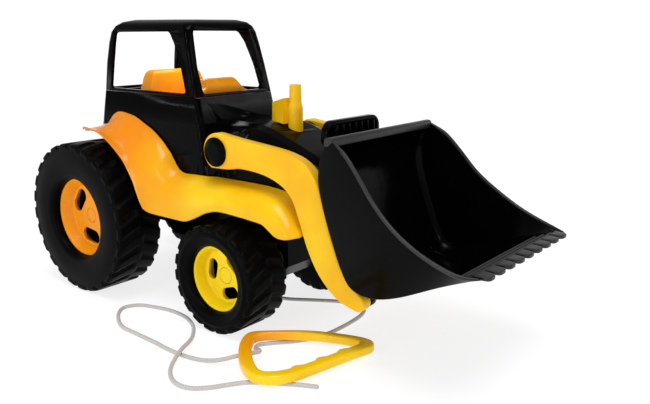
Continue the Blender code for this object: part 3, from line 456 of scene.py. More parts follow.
def catmull(points, steps, closed=False):
    """Points on a smooth curve through the given points, with steps intervals between each two."""
    points = [Vector(p) for p in points]
    count = len(points)
    result = []
    for i in range(count if closed else count - 1):
        if closed:
            p0, p1, p2, p3 = (points[(i + k) % count] for k in (-1, 0, 1, 2))
        else:
            p0, p1, p2, p3 = (points[min(max(i + k, 0), count - 1)] for k in (-1, 0, 1, 2))
        for step in range(steps):
            t = step / steps
            result.append(0.5 * (2 * p1 + (p2 - p0) * t + (2 * p0 - 5 * p1 + 4 * p2 - p3) * t**2
                                 + (3 * p1 - p0 - 3 * p2 + p3) * t**3))
    if not closed:
        result.append(points[-1])
    return result


def length_of(points):
    """Length of a line through the points."""
    return sum((b - a).length for a, b in zip(points, points[1:]))


def evenly(points, intervals):
    """Equally spaced points along a line, ends included."""
    step = length_of(points) / intervals
    spots, walked = [points[0]], 0.0
    for a, b in zip(points, points[1:]):
        length = (b - a).length
        while len(spots) < intervals and len(spots) * step <= walked + length + 1e-9:
            spots.append(a.lerp(b, (len(spots) * step - walked) / length))
        walked += length
    return spots + [points[-1]]


def arc(centre, radius, start, end, steps):
    """Points on a circle from one angle in degrees to another."""
    angles = [math.radians(start + (end - start) * k / steps) for k in range(steps + 1)]
    return [(centre[0] + radius * math.cos(a), centre[1] + radius * math.sin(a)) for a in angles]


def rounded(corners, steps=4):
    """A polygon whose corners (u, v, radius) are rounded by arcs."""
    result = []
    for i, (u, v, radius) in enumerate(corners):
        here = Vector((u, v))
        before = (Vector(corners[i - 1][:2]) - here).normalized()
        after = (Vector(corners[(i + 1) % len(corners)][:2]) - here).normalized()
        if radius == 0:
            result.append(here)
            continue
        half = before.angle(after) / 2
        centre = here + (before + after).normalized() * radius / math.sin(half)
        start = here + before * radius / math.tan(half) - centre
        end = here + after * radius / math.tan(half) - centre
        turn = start.angle_signed(end)
        for step in range(steps + 1):
            result.append(centre + Matrix.Rotation(-turn * step / steps, 2) @ start)
    return result


def rectangle(u0, v0, u1, v1, radius=0):
    """The corners of a rectangle, each with a radius."""
    return [(u0, v0, radius), (u1, v0, radius), (u1, v1, radius), (u0, v1, radius)]


def mirrored(half):
    """An outline from its first half, which starts on one side and ends at the middle line."""
    return half + [(-u, *rest) for u, *rest in reversed(half)]


def both_sides(half):
    """A ring of points from its left half."""
    return [(x, -y, z) for x, y, z in half] + [(x, y, z) for x, y, z in reversed(half)]


def shifted(points, distance):
    """The open line moved sideways, to its left."""
    result = []
    for i, point in enumerate(points):
        before = points[max(i - 1, 0)]
        after = points[min(i + 1, len(points) - 1)]
        way = (Vector(after) - Vector(before)).normalized()
        result.append(Vector(point) + Vector((-way.y, way.x)) * distance)
    return result


# ---- meshes

def tidy(shape, name):
    """Weld, face outwards and turn a bmesh into a mesh."""
    bmesh.ops.remove_doubles(shape, verts=shape.verts, dist=0.005)
    bmesh.ops.recalc_face_normals(shape, faces=shape.faces)
    mesh = bpy.data.meshes.new(name)
    shape.to_mesh(mesh)
    shape.free()
    return mesh


def skin(rings, cyclic):
    """Faces between rings of points: a cyclic skin joins the last to the first, any other is capped."""
    shape = bmesh.new()
    rows = [[shape.verts.new(point) for point in ring] for ring in rings]
    count = len(rows[0])
    for first, second in zip(rows, rows[1:] + (rows[:1] if cyclic else [])):
        for i in range(count):
            j = (i + 1) % count
            shape.faces.new((first[i], first[j], second[j], second[i]))
    if not cyclic:
        shape.faces.new(reversed(rows[0]))
        shape.faces.new(rows[-1])
    return shape


def loft(rings, cyclic=False):
    """Closed mesh through rings of points."""
    return tidy(skin(rings, cyclic), "loft")


def grooved(rings, depths, cyclic):
    """Closed mesh through rings of points that keeps how deep each point lies in a groove."""
    shape = skin(rings, cyclic)
    bmesh.ops.recalc_face_normals(shape, faces=shape.faces)
    mesh = bpy.data.meshes.new("grooved")
    shape.to_mesh(mesh)
    shape.free()
    mesh.attributes.new("groove", "FLOAT", "POINT").data.foreach_set("value", depths)
    return mesh


def prism(plane, outlines, low, high, edge=0.0, segments=3):
    """Flat outlines, the first filled and the rest holes, from low to high, with rounded edges."""
    curve = bpy.data.curves.new("outline", "CURVE")
    curve.dimensions = "2D"
    curve.fill_mode = "BOTH"
    curve.extrude = (high - low) / 2 - edge
    curve.bevel_depth = edge
    curve.bevel_resolution = segments
    curve.offset = -edge
    for outline in outlines:
        spline = curve.splines.new("POLY")
        spline.points.add(len(outline) - 1)
        for point, place in zip(spline.points, outline):
            point.co = (place[0], place[1], 0, 1)
        spline.use_cyclic_u = True
    holder = bpy.data.objects.new("outline", curve)
    bpy.context.scene.collection.objects.link(holder)
    source = holder.evaluated_get(bpy.context.evaluated_depsgraph_get())
    made = bpy.data.meshes.new_from_object(source)
    bpy.data.objects.remove(holder)
    shape = bmesh.new()
    shape.from_mesh(made)
    mesh = tidy(shape, "prism")
    mesh.transform(Matrix.Translation(DEPTH[plane] * (low + high) / 2) @ PLANES[plane])
    return mesh


def turned(profile, steps, place, side):
    """Closed (radius, height) profile spun about an axis; side 0 is upright, -1 right and 1 left."""
    rings = []
    for k in range(steps):
        angle = 2 * math.pi * k / steps
        ring = []
        for r, h in profile:
            u, v = r * math.cos(angle), r * math.sin(angle)
            if side:
                ring.append((place[0] + u, side * h, place[2] + v))
            else:
                ring.append((place[0] + u, place[1] + v, h))
        rings.append(ring)
    return loft(rings, cyclic=True)


def bar(radius, high, low, steps, place, side):
    """Plain round bar, for cutting bores."""
    return turned([(0, high), (radius, high), (radius, low), (0, low)], steps, place, side)


def sections(points):
    """Each point of a line with two directions across it, which turn no more than the line does."""
    way = (points[1] - points[0]).normalized()
    normal = way.orthogonal().normalized()
    last = len(points) - 1
    for i, point in enumerate(points):
        ahead = (points[min(i + 1, last)] - points[max(i - 1, 0)]).normalized()
        normal = way.rotation_difference(ahead) @ normal
        way = ahead
        yield point, normal, way.cross(normal)


def tube(points, radius, sides, taper):
    """Round tube along a smooth line; taper is the share of the radius at each point."""
    angles = [2 * math.pi * k / sides for k in range(sides)]
    rings = []
    for (point, normal, across), share in zip(sections([Vector(p) for p in points]), taper):
        rings.append([point + (normal * math.cos(a) + across * math.sin(a)) * radius * share
                      for a in angles])
    return loft(rings)


def merged(*meshes):
    """Several closed meshes of one moulding as one mesh."""
    shape = bmesh.new()
    for mesh in meshes:
        shape.from_mesh(mesh)
    mesh = bpy.data.meshes.new("merged")
    shape.to_mesh(mesh)
    shape.free()
    return mesh


def evaluated(mesh, *steps):
    """The mesh after modifiers: each step is (type, settings), booleans with a mesh as object."""
    scene = bpy.context.scene
    base = bpy.data.objects.new("work", mesh)
    scene.collection.objects.link(base)
    tools = []
    for kind, settings in steps:
        modifier = base.modifiers.new(kind, kind)
        for key, value in settings.items():
            if key == "object":
                tool = bpy.data.objects.new("tool", value)
                scene.collection.objects.link(tool)
                tools.append(tool)
                value = tool
            setattr(modifier, key, value)
    result = bpy.data.meshes.new_from_object(base.evaluated_get(bpy.context.evaluated_depsgraph_get()))
    for obj in tools + [base]:
        bpy.data.objects.remove(obj)
    result.materials.clear()
    return result


def boolean(mesh, operation, *others):
    """The mesh united with, cut by or kept inside the others, one after another."""
    return evaluated(mesh, *[("BOOLEAN", dict(operation=operation, solver="EXACT", object=other))
                             for other in others])


def eased(mesh, width, segments, angle):
    """Rounded edges wherever the faces meet at more than the angle, with the flats kept flat."""
    mesh.shade_smooth()
    return evaluated(mesh, ("BEVEL", dict(width=width, segments=segments, limit_method="ANGLE",
                                          angle_limit=math.radians(angle), miter_outer="MITER_ARC")),
                     ("WEIGHTED_NORMAL", dict(keep_sharp=True, weight=60)))


def piece(node, suffix, mesh, material, body="chassis", sharp=38, hides=True):
    """Show a mesh made in vehicle millimetres, riding on a body, in place of a CAD node.

    hides is False for a piece that only adds to what already stands for its node.
    """
    name = f"{node}_{suffix}"
    mesh.transform(ROW)
    mesh.name = name
    if sharp:
        mesh.shade_smooth()
        mesh.set_sharp_from_angle(angle=math.radians(sharp))
    mesh.materials.clear()
    mesh.materials.append(material)
    obj = bpy.data.objects.new(name, mesh)
    bpy.context.scene.collection.objects.link(obj)
    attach(obj, body)
    if hides:
        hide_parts(node)
    return obj


# ---- wheels

def tread_profile(w):
    """(radius, height, share of the lug depth) over the outer face, the tread and the inner web."""
    r, inner, outer, bore = w["radius"], w["inner"], w["outer"], w["bore"]
    points = [(bore, w["rim"] - 1, 0), (bore, w["rim"] + 1, 0), (bore + 0.5, outer - 4.5, 0),
              (bore + 2.2, outer - 2.4, 0), (bore + 5.5, outer - 1.2, 0)]
    wall_in, wall_out = bore + 8, r - 7
    for k in range(7):
        t = k / 6
        points.append((wall_in + (wall_out - wall_in) * t, outer - 1.0 * (2 * t - 1) ** 2, 0))
    points += [(r - 5.8, outer - 1.0, 0.0), (r - 5.0, outer - 0.8, 0.55), (r - 3.6, outer - 0.8, 0.9),
               (r - 1.9, outer - 1.2, 1), (r - 0.8, outer - 2.2, 1), (r - 0.2, outer - 3.8, 1),
               (r, outer - 7.0, 1)]
    count = round((outer - inner - 14) / 2.1)
    for k in range(1, count):
        points.append((r, outer - 7 - (outer - inner - 14) * k / count, 1))
    points += [(r, inner + 7.0, 1), (r - 0.5, inner + 4.6, 1), (r - 1.4, inner + 3.0, 1),
               (r - 3.0, inner + 1.9, 1), (r - 5.0, inner + 1.4, 0.9), (r - 6.6, inner + 1.2, 0.55),
               (r - 7.6, inner + 1.1, 0.0), (r - 12, inner + 0.6, 0), (bore + 6, inner + 0.4, 0),
               (HUB_BOSS_R + 1, inner + 0.3, 0), (HUB_BOSS_R + 0.4, inner + 0.8, 0),
               (HUB_BOSS_R + 0.4, inner + 2.0, 0), (HUB_BOSS_R + 1, inner + 2.4, 0),
               (bore - 2.5, inner + 2.4, 0), (bore - 0.7, inner + 3.1, 0), (bore, inner + 4.9, 0)]
    return points


def groove_at(turns, across):
    """1 down in a groove and 0 on a lug; turns counts lugs round the tyre, across runs -1 to 1."""
    phase = turns + (0.0 if across > 0 else 0.5) + LUG_SWEEP * abs(across) ** 1.4
    share = phase - math.floor(phase)
    groove = ramp(share, LUG_SHARE, LUG_SHARE + LUG_EDGE) * ramp(share, 1, 1 - LUG_EDGE)
    return smooth(groove) * ramp(abs(across), LUG_RIDGE, LUG_RIDGE + 0.05)


def tyre(end, word, side, w):
    """Tread profile spun round the axle, sunk into grooves between the lugs."""
    middle, half = (w["inner"] + w["outer"]) / 2, (w["outer"] - w["inner"]) / 2
    profile = tread_profile(w)
    rings, depths = [], []
    steps = w["lugs"] * LUG_STEPS
    for k in range(steps):
        angle = 2 * math.pi * k / steps
        ring = []
        for r, h, share in profile:
            down = groove_at(k / LUG_STEPS, (h - middle) / half) * share if share else 0.0
            wall = ramp(w["radius"] - r, 0, LUG_SHOULDER)
            low = r - LUG_DEPTH * down * (1 - 0.75 * wall)
            inward = LUG_NOTCH * down * wall * (1 if h > middle else -1)
            ring.append((w["x"] + low * math.cos(angle), side * (h - inward),
                         w["radius"] + low * math.sin(angle)))
            depths.append(down)
        rings.append(ring)
    piece(f"tyre_{end}_{word}", "tread", grooved(rings, depths, True), black_tyre,
          f"wheel_{end}_{word}", 50)


def hub(end, word, side, w):
    """Dished hub: barrel inside the tyre, raised rim, disc with three slots, boss on the axle."""
    rim, disc = w["bore"] - GAP, w["disc"]
    bore, seat_r = AXLE_R + GAP, HUB_CAP_R + GAP
    face_r = rim - w["radius"] / 9
    corners = [(rim - 2.4, w["rim"], 0.9), (rim, w["rim"], 0.6), (rim, disc - HUB_BARREL, 0.5),
               (rim - HUB_WALL, disc - HUB_BARREL, 0.5), (rim - HUB_WALL, disc - HUB_WALL + 0.2, 1.5),
               (HUB_BOSS_R, disc - HUB_WALL, 1.5), (HUB_BOSS_R, HUB_BOSS_END, 0.5),
               (bore, HUB_BOSS_END, 0), (bore, disc - HUB_SEAT, 0), (seat_r, disc - HUB_SEAT, 0),
               (seat_r, disc, 0.3), (face_r, disc, 3.5)]
    mesh = turned(rounded(corners), 96, (w["x"], 0, w["radius"]), side)
    length, width, centre_r = w["slot"]
    half = (length - width) / 2
    outline = arc((half, 0), width / 2, -90, 90, 12) + arc((-half, 0), width / 2, 90, 270, 12)
    upright = Matrix(((1, 0, 0, w["x"]), (0, 0, side, 0), (0, -side, 0, w["radius"]), (0, 0, 0, 1)))
    for angle in w["angles"]:
        turn = math.radians(angle)
        cutter = prism("plan", [outline], -9, 9)
        cutter.transform(upright @ Matrix.Translation((centre_r * math.cos(turn),
                                                       centre_r * math.sin(turn), disc))
                         @ Matrix.Rotation(turn + math.pi / 2, 4, "Z"))
        mesh = boolean(mesh, "DIFFERENCE", cutter)
    piece(f"hub_{end}_{word}", "moulding", eased(mesh, 0.9, 3, 50), hub_yellow,
          f"wheel_{end}_{word}", 42)


def wheel(end, word, side):
    """Tyre, hub, domed hub cap and the push nut that holds the wheel on its axle."""
    w = WHEELS[end]
    disc = w["disc"]
    place = (w["x"], 0, w["radius"])
    tyre(end, word, side, w)
    hub(end, word, side, w)
    dome = [(0.0, disc + 0.5)] + [(HUB_CAP_R * math.sin(a), disc - 0.2 + 0.7 * math.cos(a))
                                  for a in [math.pi / 2 * k / 8 for k in range(1, 8)]]
    cap = dome + [(HUB_CAP_R, disc - 0.3), (HUB_CAP_R, disc - 2.2), (0.0, disc - 2.2)]
    piece(f"hub_cap_{end}_{word}", "dome", turned(cap, 48, place, side), hub_yellow,
          f"wheel_{end}_{word}")
    nut = rounded([(AXLE_R + GAP, disc - 4.0, 0.2), (7.0, disc - 4.0, 0.5), (7.0, disc - 6.0, 0.2),
                   (AXLE_R + GAP, disc - 6.0, 0.2)], 3)
    piece(f"push_nut_{end}_{word}", "plated", turned(nut, 48, place, side), steel)


def rod(radius, high, low, ease=0.6):
    """Profile of a round bar with chamfered ends."""
    return [(0.0, high), (radius - ease, high), (radius, high - ease), (radius, low + ease),
            (radius - ease, low), (0.0, low)]


# ---- bodywork

def deck_height(x):
    """Underside of the body where it rests on the base frame and over the rear wheels' arch."""
    arch = WHEELS["rear"]["radius"] + math.sqrt(max(REAR_ARCH_R**2 - x**2, 0))
    return min(max(DECK_Z, arch), along(ROOT_TOP, x) - 0.8)


def body_half(x, z):
    """Half width of the black body: a cab that leans inwards and a hood that narrows forwards."""
    cab = 60.0 - max(z - LEAN_Z, 0) * 0.085
    hood = 56.0 - max(x - 250, 0) * 0.12
    blend = ramp(x, 164, 172)
    return cab * (1 - blend) + hood * blend


def fender_ring(x, closed_end):
    """Section of the fender moulding: root by the cab, rounded crest, flank, beaded lip, underside."""
    top, lip = along(ROOT_TOP, x), along(LIP_LOW, x)
    edge = along(LIP_HALF, x)
    deck = deck_height(x)
    inner = body_half(x, top) + 2 * GAP
    foot = body_half(x, deck) + 2 * GAP
    knee_z = min(max(LEAN_Z, deck + 0.2 * (top - deck)), top - 0.2 * (top - deck))
    knee = body_half(x, knee_z) + 2 * GAP
    wide, drop = edge - inner, top - lip
    ogee = smooth(ramp(x, FLARE_END_X, FLARE_START_X))
    ease = min(2.2, 0.2 * (top - deck) + 0.3)
    flank = [(inner + 0.25 * ease, top - 0.35 * ease), (inner + ease, top - 0.1 * ease)]
    tail = ramp(x, TAIL_START_X, TAIL_END_X)
    for (out_a, down_a), (out_b, down_b), (out_c, down_c) in zip(ROUND_FLANK, OGEE_FLANK, TAIL_FLANK):
        out = out_a + (out_b - out_a) * ogee + (out_c - out_b) * tail
        down = down_a + (down_b - down_a) * ogee + (down_c - down_b) * tail
        flank.append((inner + wide * out, top - drop * down))
    flank.append((edge - 0.3, lip + 2.4))
    fine = catmull(flank, 4)
    outside = [(foot, deck), (knee, knee_z), (inner, top - ease)] + fine
    bead = [(edge, lip + 1.2), (edge - 0.3, lip + 0.4), (edge - 1.1, lip), (edge - 2.1, lip + 0.1),
            (edge - 2.9, lip + 0.8)]
    if closed_end:
        middle = (edge + inner) / 2
        inside = [(edge - 5, lip + 0.4), (middle + 4, lip), (middle, lip), (middle - 4, lip),
                  (inner + 3.4, lip), (foot - 4, lip)]
    else:
        under = shifted(fine, -FENDER_WALL)
        inside = [under[k] for k in (-4, -8, -12, -16)] + [(inner + 3.2, top - 3.6),
                                                           (foot + 2.8, deck - 3)]
    return both_sides([(x, y, z) for y, z in outside + bead + inside])


def fender_moulding():
    """Fenders, step, mudguards and nose in one skin, open below and solid at the nose."""
    rings = [fender_ring(x, False) for x in [-9, -7, -5, -2.5] + [2.5 * k for k in range(115)]]
    rings += [fender_ring(x, True) for x in (287, 289, 291, 293, 295)]
    piece("fender_moulding", "skin", loft(rings), yellow, sharp=55)


def cab_ring(z, rear, front, half, corner, inset=0.0):
    """Level section of the cab, a rectangle with rounded corners."""
    corners = rectangle(front - inset, half - inset, rear + inset, inset - half, corner)
    return [(x, y, z) for x, y in rounded(corners, 7)]


def lower_cab_rings(inset, low, high):
    """Levels of the cab below its sill, whose front and rear lean inwards."""
    rings = []
    for z in (low, LEAN_Z, 192, high):
        front = 155.0 - (z - 165.0) * 0.197
        rear = -19.0 + (z - 174.0) * 0.140
        rings.append(cab_ring(z, rear, front, body_half(0, z), 6.0, inset))
    return rings


def hood_ring(x, inset, low):
    """Vertical section of the hood: flat crown, shoulders that slope out, upright flanks."""
    top = along(HOOD_TOP, x) - inset
    half = body_half(max(x, 170), 150) - inset
    shoulder = min(12.0, 0.3 * (top - 142))
    corners = [(-half, low, 0), (-half, top - 2.6 * shoulder, 9), (-half + 7, top - 1.2 * shoulder, 7),
               (-36 + inset, top - 3.0, 8), (-28 + inset, top - 0.2, 3)]
    ring = []
    for p in rounded(mirrored(corners)):
        crown = 1.4 * max(0.0, 1 - (p[0] / 30) ** 2) if p[1] > top - 1 else 0.0
        ring.append((x, p[0], p[1] + crown))
    return ring


def body_shell():
    """Hollow lower cab and hood in one, with the pivot's bosses and the hole for the exhaust stack."""
    stations = [130, 145, 160, 172] + list(range(176, 286, 5)) + [286, 287.4, 288]
    nose_inset = {287.4: 0.8, 288: 2.2}
    hood = loft([hood_ring(x, nose_inset.get(x, 0.0), 105) for x in stations])
    boss = turned([(0, 62.6), (15, 62.6), (16, 61.6), (16, -61.6), (15, -62.6), (0, -62.6)], 64,
                  PIVOT_PLACE, -1)
    shell = boolean(loft(lower_cab_rings(0.0, 125, SEAM_Z)), "UNION", hood, boss)
    below = [(x, deck_height(x) + GAP) for x in range(-40, 320, 4)] + [(330, 60), (-60, 60)]
    cab_room = loft(lower_cab_rings(WALL, 110, SEAM_Z + 12))
    hood_room = loft([hood_ring(x, WALL, 100) for x in [157, 166] + list(range(176, 286, 8))])
    bore = bar(AXLE_R + GAP, 70, -70, 32, PIVOT_PLACE, -1)
    stack_hole = bar(STACK_R + GAP, 215, 170, 48, (STACK_X, 0, 0), 0)
    shell = boolean(shell, "DIFFERENCE", prism("side", [below], -80, 80), cab_room, hood_room, bore,
                    stack_hole)
    piece("body_shell", "moulding", eased(shell, 0.7, 2, 40), black, sharp=40)


def cab_frame():
    """Roof, pillars and sill: a shell with a window cut through each side."""
    levels = []
    for a, b in zip(CAB_LEVELS, CAB_LEVELS[1:]):
        levels.append(a)
        if b[0] - a[0] < 12:
            levels.append(tuple((p + q) / 2 for p, q in zip(a, b)))
    levels.append(CAB_LEVELS[-1])
    room_levels = [(200, -12.3, 146.0, 55.3, 6.0)] + CAB_LEVELS[:5]
    room = loft([cab_ring(*level, CAB_WALL) for level in room_levels])
    side_window = rounded([(127.5, 223, 3), (119.5, 249, 60), (108.5, 273, 12), (100, 284, 7),
                           (9, 284, 4), (1.5, 230, 20), (0.5, 223, 3)], 6)
    windscreen = rounded(mirrored([(46, 223, 3), (47, 250, 30), (43, 287, 6)]), 6)
    rear_window = rounded(mirrored([(45.5, 223, 3), (44, 283, 7)]), 6)
    top = boolean(loft([cab_ring(*level) for level in levels]), "DIFFERENCE", room,
                  prism("side", [side_window], -70, 70), prism("front", [windscreen], 100, 160),
                  prism("front", [rear_window], -30, 24))
    piece("cab_frame", "moulding", eased(top, 1.0, 3, 35), black, sharp=35)


def soft_moulding(mesh, voxel, rounds):
    """Thick soft-edged moulding: even mesh, then relaxed so that every edge is round."""
    return evaluated(mesh, ("REMESH", dict(mode="VOXEL", voxel_size=voxel, use_smooth_shade=True)),
                     ("SMOOTH", dict(factor=0.5, iterations=rounds)))


def seat():
    """Hollow seat with a rounded back, set into the fender moulding."""
    profile = rounded([(30.5, 172.2, 0), (42, 172.2, 0), (76, 150, 4), (80, 138, 0), (96, 138, 0),
                       (98, 196, 5), (90, 205, 4), (55, 206, 5), (49, 242.6, 5), (35, 242.6, 5),
                       (31, 208, 6)])
    front = rounded(mirrored([(SEAT_HALF, 120, 0), (SEAT_HALF, 218, 14), (33, 244.5, 14)]), 6)
    solid = boolean(prism("side", [profile], -SEAT_HALF, SEAT_HALF), "INTERSECT",
                    prism("front", [front], 20, 110))
    room = [(34, 140), (94.5, 130), (94.5, 195), (88, 201.5), (52, 202.5), (34, 204)]
    solid = boolean(solid, "DIFFERENCE", prism("side", [room], -36.5, 36.5))
    piece("seat", "moulding", soft_moulding(solid, 1.1, 6), orange, sharp=0)


def dashboard():
    """Hollow cowl behind the windscreen, with a raised middle."""
    profile = rounded([(104, 138, 0), (124, 138, 0), (126, 228, 5), (118, 236.4, 5), (108, 234.4, 4)])
    front = rounded(mirrored([(38, 130, 0), (38, 219.5, 7), (25, 226.5, 5), (21, 236.6, 6)]), 5)
    solid = boolean(prism("side", [profile], -38, 38), "INTERSECT", prism("front", [front], 95, 140))
    room = mirrored([(35, 125), (35, 216), (22, 222.5), (18, 232)])
    solid = boolean(solid, "DIFFERENCE", prism("front", [room], 109, 121))
    piece("dashboard", "moulding", soft_moulding(solid, 1.0, 5), orange, sharp=0)


def hood_fittings():
    """Exhaust stack, and the intake box behind it with its three grille slots."""
    corners = [(4.2, 233.9, 0.7), (5.9, 233.9, 0.7), (6.0, 217, 1.5), (7.3, 211, 2),
               (STACK_R, 178, 0.5), (4.6, 178, 0.3), (4.2, 182, 0.5)]
    piece("exhaust_stack", "moulding", turned(rounded(corners), 64, (STACK_X, 0, 0), 0), yellow,
          sharp=50)
    foot = [(x, along(HOOD_TOP, x) + 1.2 + GAP) for x in (217, 210, 202)]
    box = prism("side", [foot + [(202.5, 216), (217, 220.5)]], -8.5, 8.5)
    slots = [prism("side", [rectangle(200, z, 204.2, z + 1.3)], -6, 6) for z in (203, 206.5, 210)]
    box = boolean(box, "DIFFERENCE", *slots)
    piece("intake_box", "moulding", eased(box, 0.5, 3, 40), yellow, sharp=45)


def screws():
    """Four cross-head screws under the base frame."""
    for number, (x, y) in enumerate([(30.0, -24.0), (30.0, 24.0), (140.0, -24.0), (140.0, 24.0)], 1):
        under = 77.0 if x < 60 else 66.0
        profile = [(0.0, under + 22), (1.4, under + 19), (1.4, under - GAP), (4.0, under - GAP),
                   (3.9, under - 1.0), (3.2, under - 2.0), (1.8, under - 2.4), (0.0, under - 2.4)]
        bars = [prism("plan", [rectangle(x - a, y - b, x + a, y + b)], under - 4, under - 1.2)
                for a, b in ((2.0, 0.35), (0.35, 2.0))]
        mesh = boolean(turned(profile, 32, (x, y, 0), 0), "DIFFERENCE", *bars)
        piece(f"frame_screw_{number}", "head", mesh, steel, sharp=30)


# ---- loader

def loader_arm(word, side):
    """Cranked arm from the pivot's eye down to the bucket's hinge."""
    pivot_eye = arc(PIVOT, 18, 245, 80, 24)
    tip = arc(BUCKET_HINGE, BUCKET_EYE_R, 50, -110, 14)
    outline = catmull([pivot_eye[-1]] + ARM_TOP + [tip[0]], 5)[1:-1] + tip
    outline += catmull([tip[-1]] + ARM_UNDER + [pivot_eye[0]], 5)[1:-1] + pivot_eye
    low, high = sorted((side * ARM_IN, side * ARM_OUT))
    eye = bar(AXLE_R + GAP, 90, 50, 32, PIVOT_PLACE, side)
    arm = boolean(prism("side", [outline], low, high, 2.0), "DIFFERENCE", eye)
    piece(f"loader_arm_{word}", "moulding", arm, yellow, "loader", 40)


def loader_fittings():
    """The arms, their pivot and its caps, and the cross tube between them."""
    for word, side in SIDES:
        loader_arm(word, side)
        corners = [(0.0, 79.2, 0), (8.5, 79.0, 4), (14.2, 77.4, 1.2), (14.2, ARM_OUT + GAP, 0.2),
                   (AXLE_R + GAP, ARM_OUT + GAP, 0), (AXLE_R + GAP, 77.2, 0), (0.0, 77.2, 0)]
        piece(f"pivot_cap_{word}", "dome", turned(rounded(corners, 6), 64, PIVOT_PLACE, side), black,
              sharp=45)
    piece("pivot_shaft", "bar", turned(rod(AXLE_R, 76.8, -76.8), 48, PIVOT_PLACE, -1), steel)
    piece("arm_cross_tube", "bar", turned(rod(5.0, 67.5, -67.5), 48, (316, 0, 110), -1), yellow,
          "loader")


def axles():
    for end, w in WHEELS.items():
        reach = w["disc"] - 3.4
        piece(f"axle_{end}", "bar", turned(rod(AXLE_R, reach, -reach), 48, (w["x"], 0, w["radius"]), -1),
              steel)


def bucket_hull(inset, beyond, corner):
    """The bucket as a solid block, each section from the back sheet out to the side plates' edge.

    inset moves the sheet and the side plates inwards, beyond carries the sections past the free
    edge, and corner rounds the edge between the sheet and the plates.
    """
    back = evenly(catmull([(*p, 0) for p in BUCKET_BACK], 6), BUCKET_SECTIONS)
    back = shifted([(p.x, p.y) for p in back], inset)
    edge = evenly(catmull(BUCKET_SIDE_EDGE, 6), BUCKET_SECTIONS)
    rings = []
    for low, free in zip(back, edge):
        reach = (Vector((free.x, free.z)) - low).length
        far = Vector((free.x, free.z)) + beyond * Vector(OUT_OF_BUCKET)
        more = min(1 + beyond / reach, 2.0)
        spread = (free.y - BUCKET_HALF) * more
        radius = min(corner, 0.35 * reach)
        half = BUCKET_HALF - inset
        side = []
        for k in range(CORNER_STEPS + 1):
            turn = math.pi / 2 * k / CORNER_STEPS
            share = radius * (1 - math.cos(turn)) / (far - low).length
            spot = low.lerp(far, share)
            side.append((spot.x, half + spread * share - radius * (1 - math.sin(turn)), spot.y))
        side.append((far.x, half + spread, far.y))
        rings.append(both_sides(side))
    return loft(rings)


def bucket_edges():
    """Rolled free edges of the side plates, rim bead, and the lip's ridges and teeth."""
    edges = []
    free = catmull(BUCKET_SIDE_EDGE, 6)[1:-1]
    last = len(free) - 1
    taper = [0.5 + 0.5 * ramp(k, 0, 4) * ramp(k, last, last - 4) for k in range(last + 1)]
    for side in (-1, 1):
        roll = [(p.x, side * (p.y - 1.6), p.z) for p in free]
        edges.append(tube(roll, 1.75, 12, taper))
    rim = rounded([(325.5, 192.5, 2.2), (334.3, 192.5, 1), (334.8, 200, 3), (326.5, 200, 3)], 5)
    edges.append(prism("side", [rim], -BUCKET_HALF - 0.4, BUCKET_HALF + 0.4, 0.8, 2))
    angles = [math.pi * k / 5 for k in range(10)]
    for x, z in LIP_RIDGES:
        ridge = [(x + 1.5 * math.cos(a), z + 1.2 * math.sin(a)) for a in angles]
        edges.append(prism("side", [ridge], 5 - BUCKET_HALF, BUCKET_HALF - 5))
    pitch = 2 * BUCKET_HALF / TOOTH_COUNT
    for number in range(TOOTH_COUNT):
        middle = -BUCKET_HALF + (number + 0.5) * pitch
        root, tip = 0.42 * pitch, 0.3 * pitch
        tooth = rounded([(TOOTH_ROOT_X, middle - root, 1), (TOOTH_TIP_X, middle - tip, 4),
                         (TOOTH_TIP_X, middle + tip, 4), (TOOTH_ROOT_X, middle + root, 1)], 6)
        edges.append(prism("plan", [tooth], 107.2, 110.8, 1.0))
    return edges


def bucket():
    """Curved sheet with side plates, its edges in a lighter grey that is painted highlight with scuffs on
    it, and the hinge ears and pins below.
    """
    parts = [boolean(bucket_hull(0.0, 0.0, 2.0), "DIFFERENCE",
                     bucket_hull(BUCKET_WALL, 14.0, CORNER_FILLET))]
    ear = arc(BUCKET_HINGE, BUCKET_EYE_R - 1, 190, 350, 18) + [(378, 70.8), (374, 72), (356, 75.5),
                                                               (346, 86)]
    for word, side in SIDES:
        low, high = sorted((side * 54.0, side * 61.5))
        parts.append(prism("side", [ear], low, high, 0.8, 2))
    piece("bucket", "moulding", merged(*parts), bucket_black, "bucket", 40)
    # The edges' lighter grey is painted highlight; its scratches are real scuffs
    piece("bucket", "edge_wear_and_painted_highlight", merged(*bucket_edges()), painted_edge_highlight, "bucket", 40, hides=False)
    for word, side in SIDES:
        pin = turned(rod(2.5, 70.5, 51.0, 0.4), 32, BUCKET_HINGE_PLACE, side)
        piece(f"bucket_pin_{word}", "bar", pin, steel, "bucket")


def bucket_grip():
    """Ribbed grip plate behind the rim, on two brackets from the back sheet."""
    outline = rounded(mirrored([(41, 184, 6), (41, 207, 11)]), 7)
    window = rounded(mirrored([(33.5, 188.5, 2), (33.5, 202, 4)]))
    parts = [prism("front", [outline, window], 291, 299, 1.6),
             prism("front", [window], 293.5, 296.5)]
    for number in range(7):
        y = -28.5 + 9.5 * number
        rib = rounded(rectangle(289, y - 1.4, 301, y + 1.4, 1), 3)
        parts.append(prism("plan", [rib], 187, 203, 0.7, 2))
    back = [(x - GAP, z) for x, z in catmull(BUCKET_BACK, 4) if 166 < z < 192]
    bracket = back + [(296, 185.5), (296, 192)]
    parts += [prism("side", [bracket], low, high, 0.6, 2) for low, high in ((-30, -24), (24, 30))]
    piece("bucket_grip", "moulding", merged(*parts), bucket_black, "bucket", 40)


# ---- cord and handle

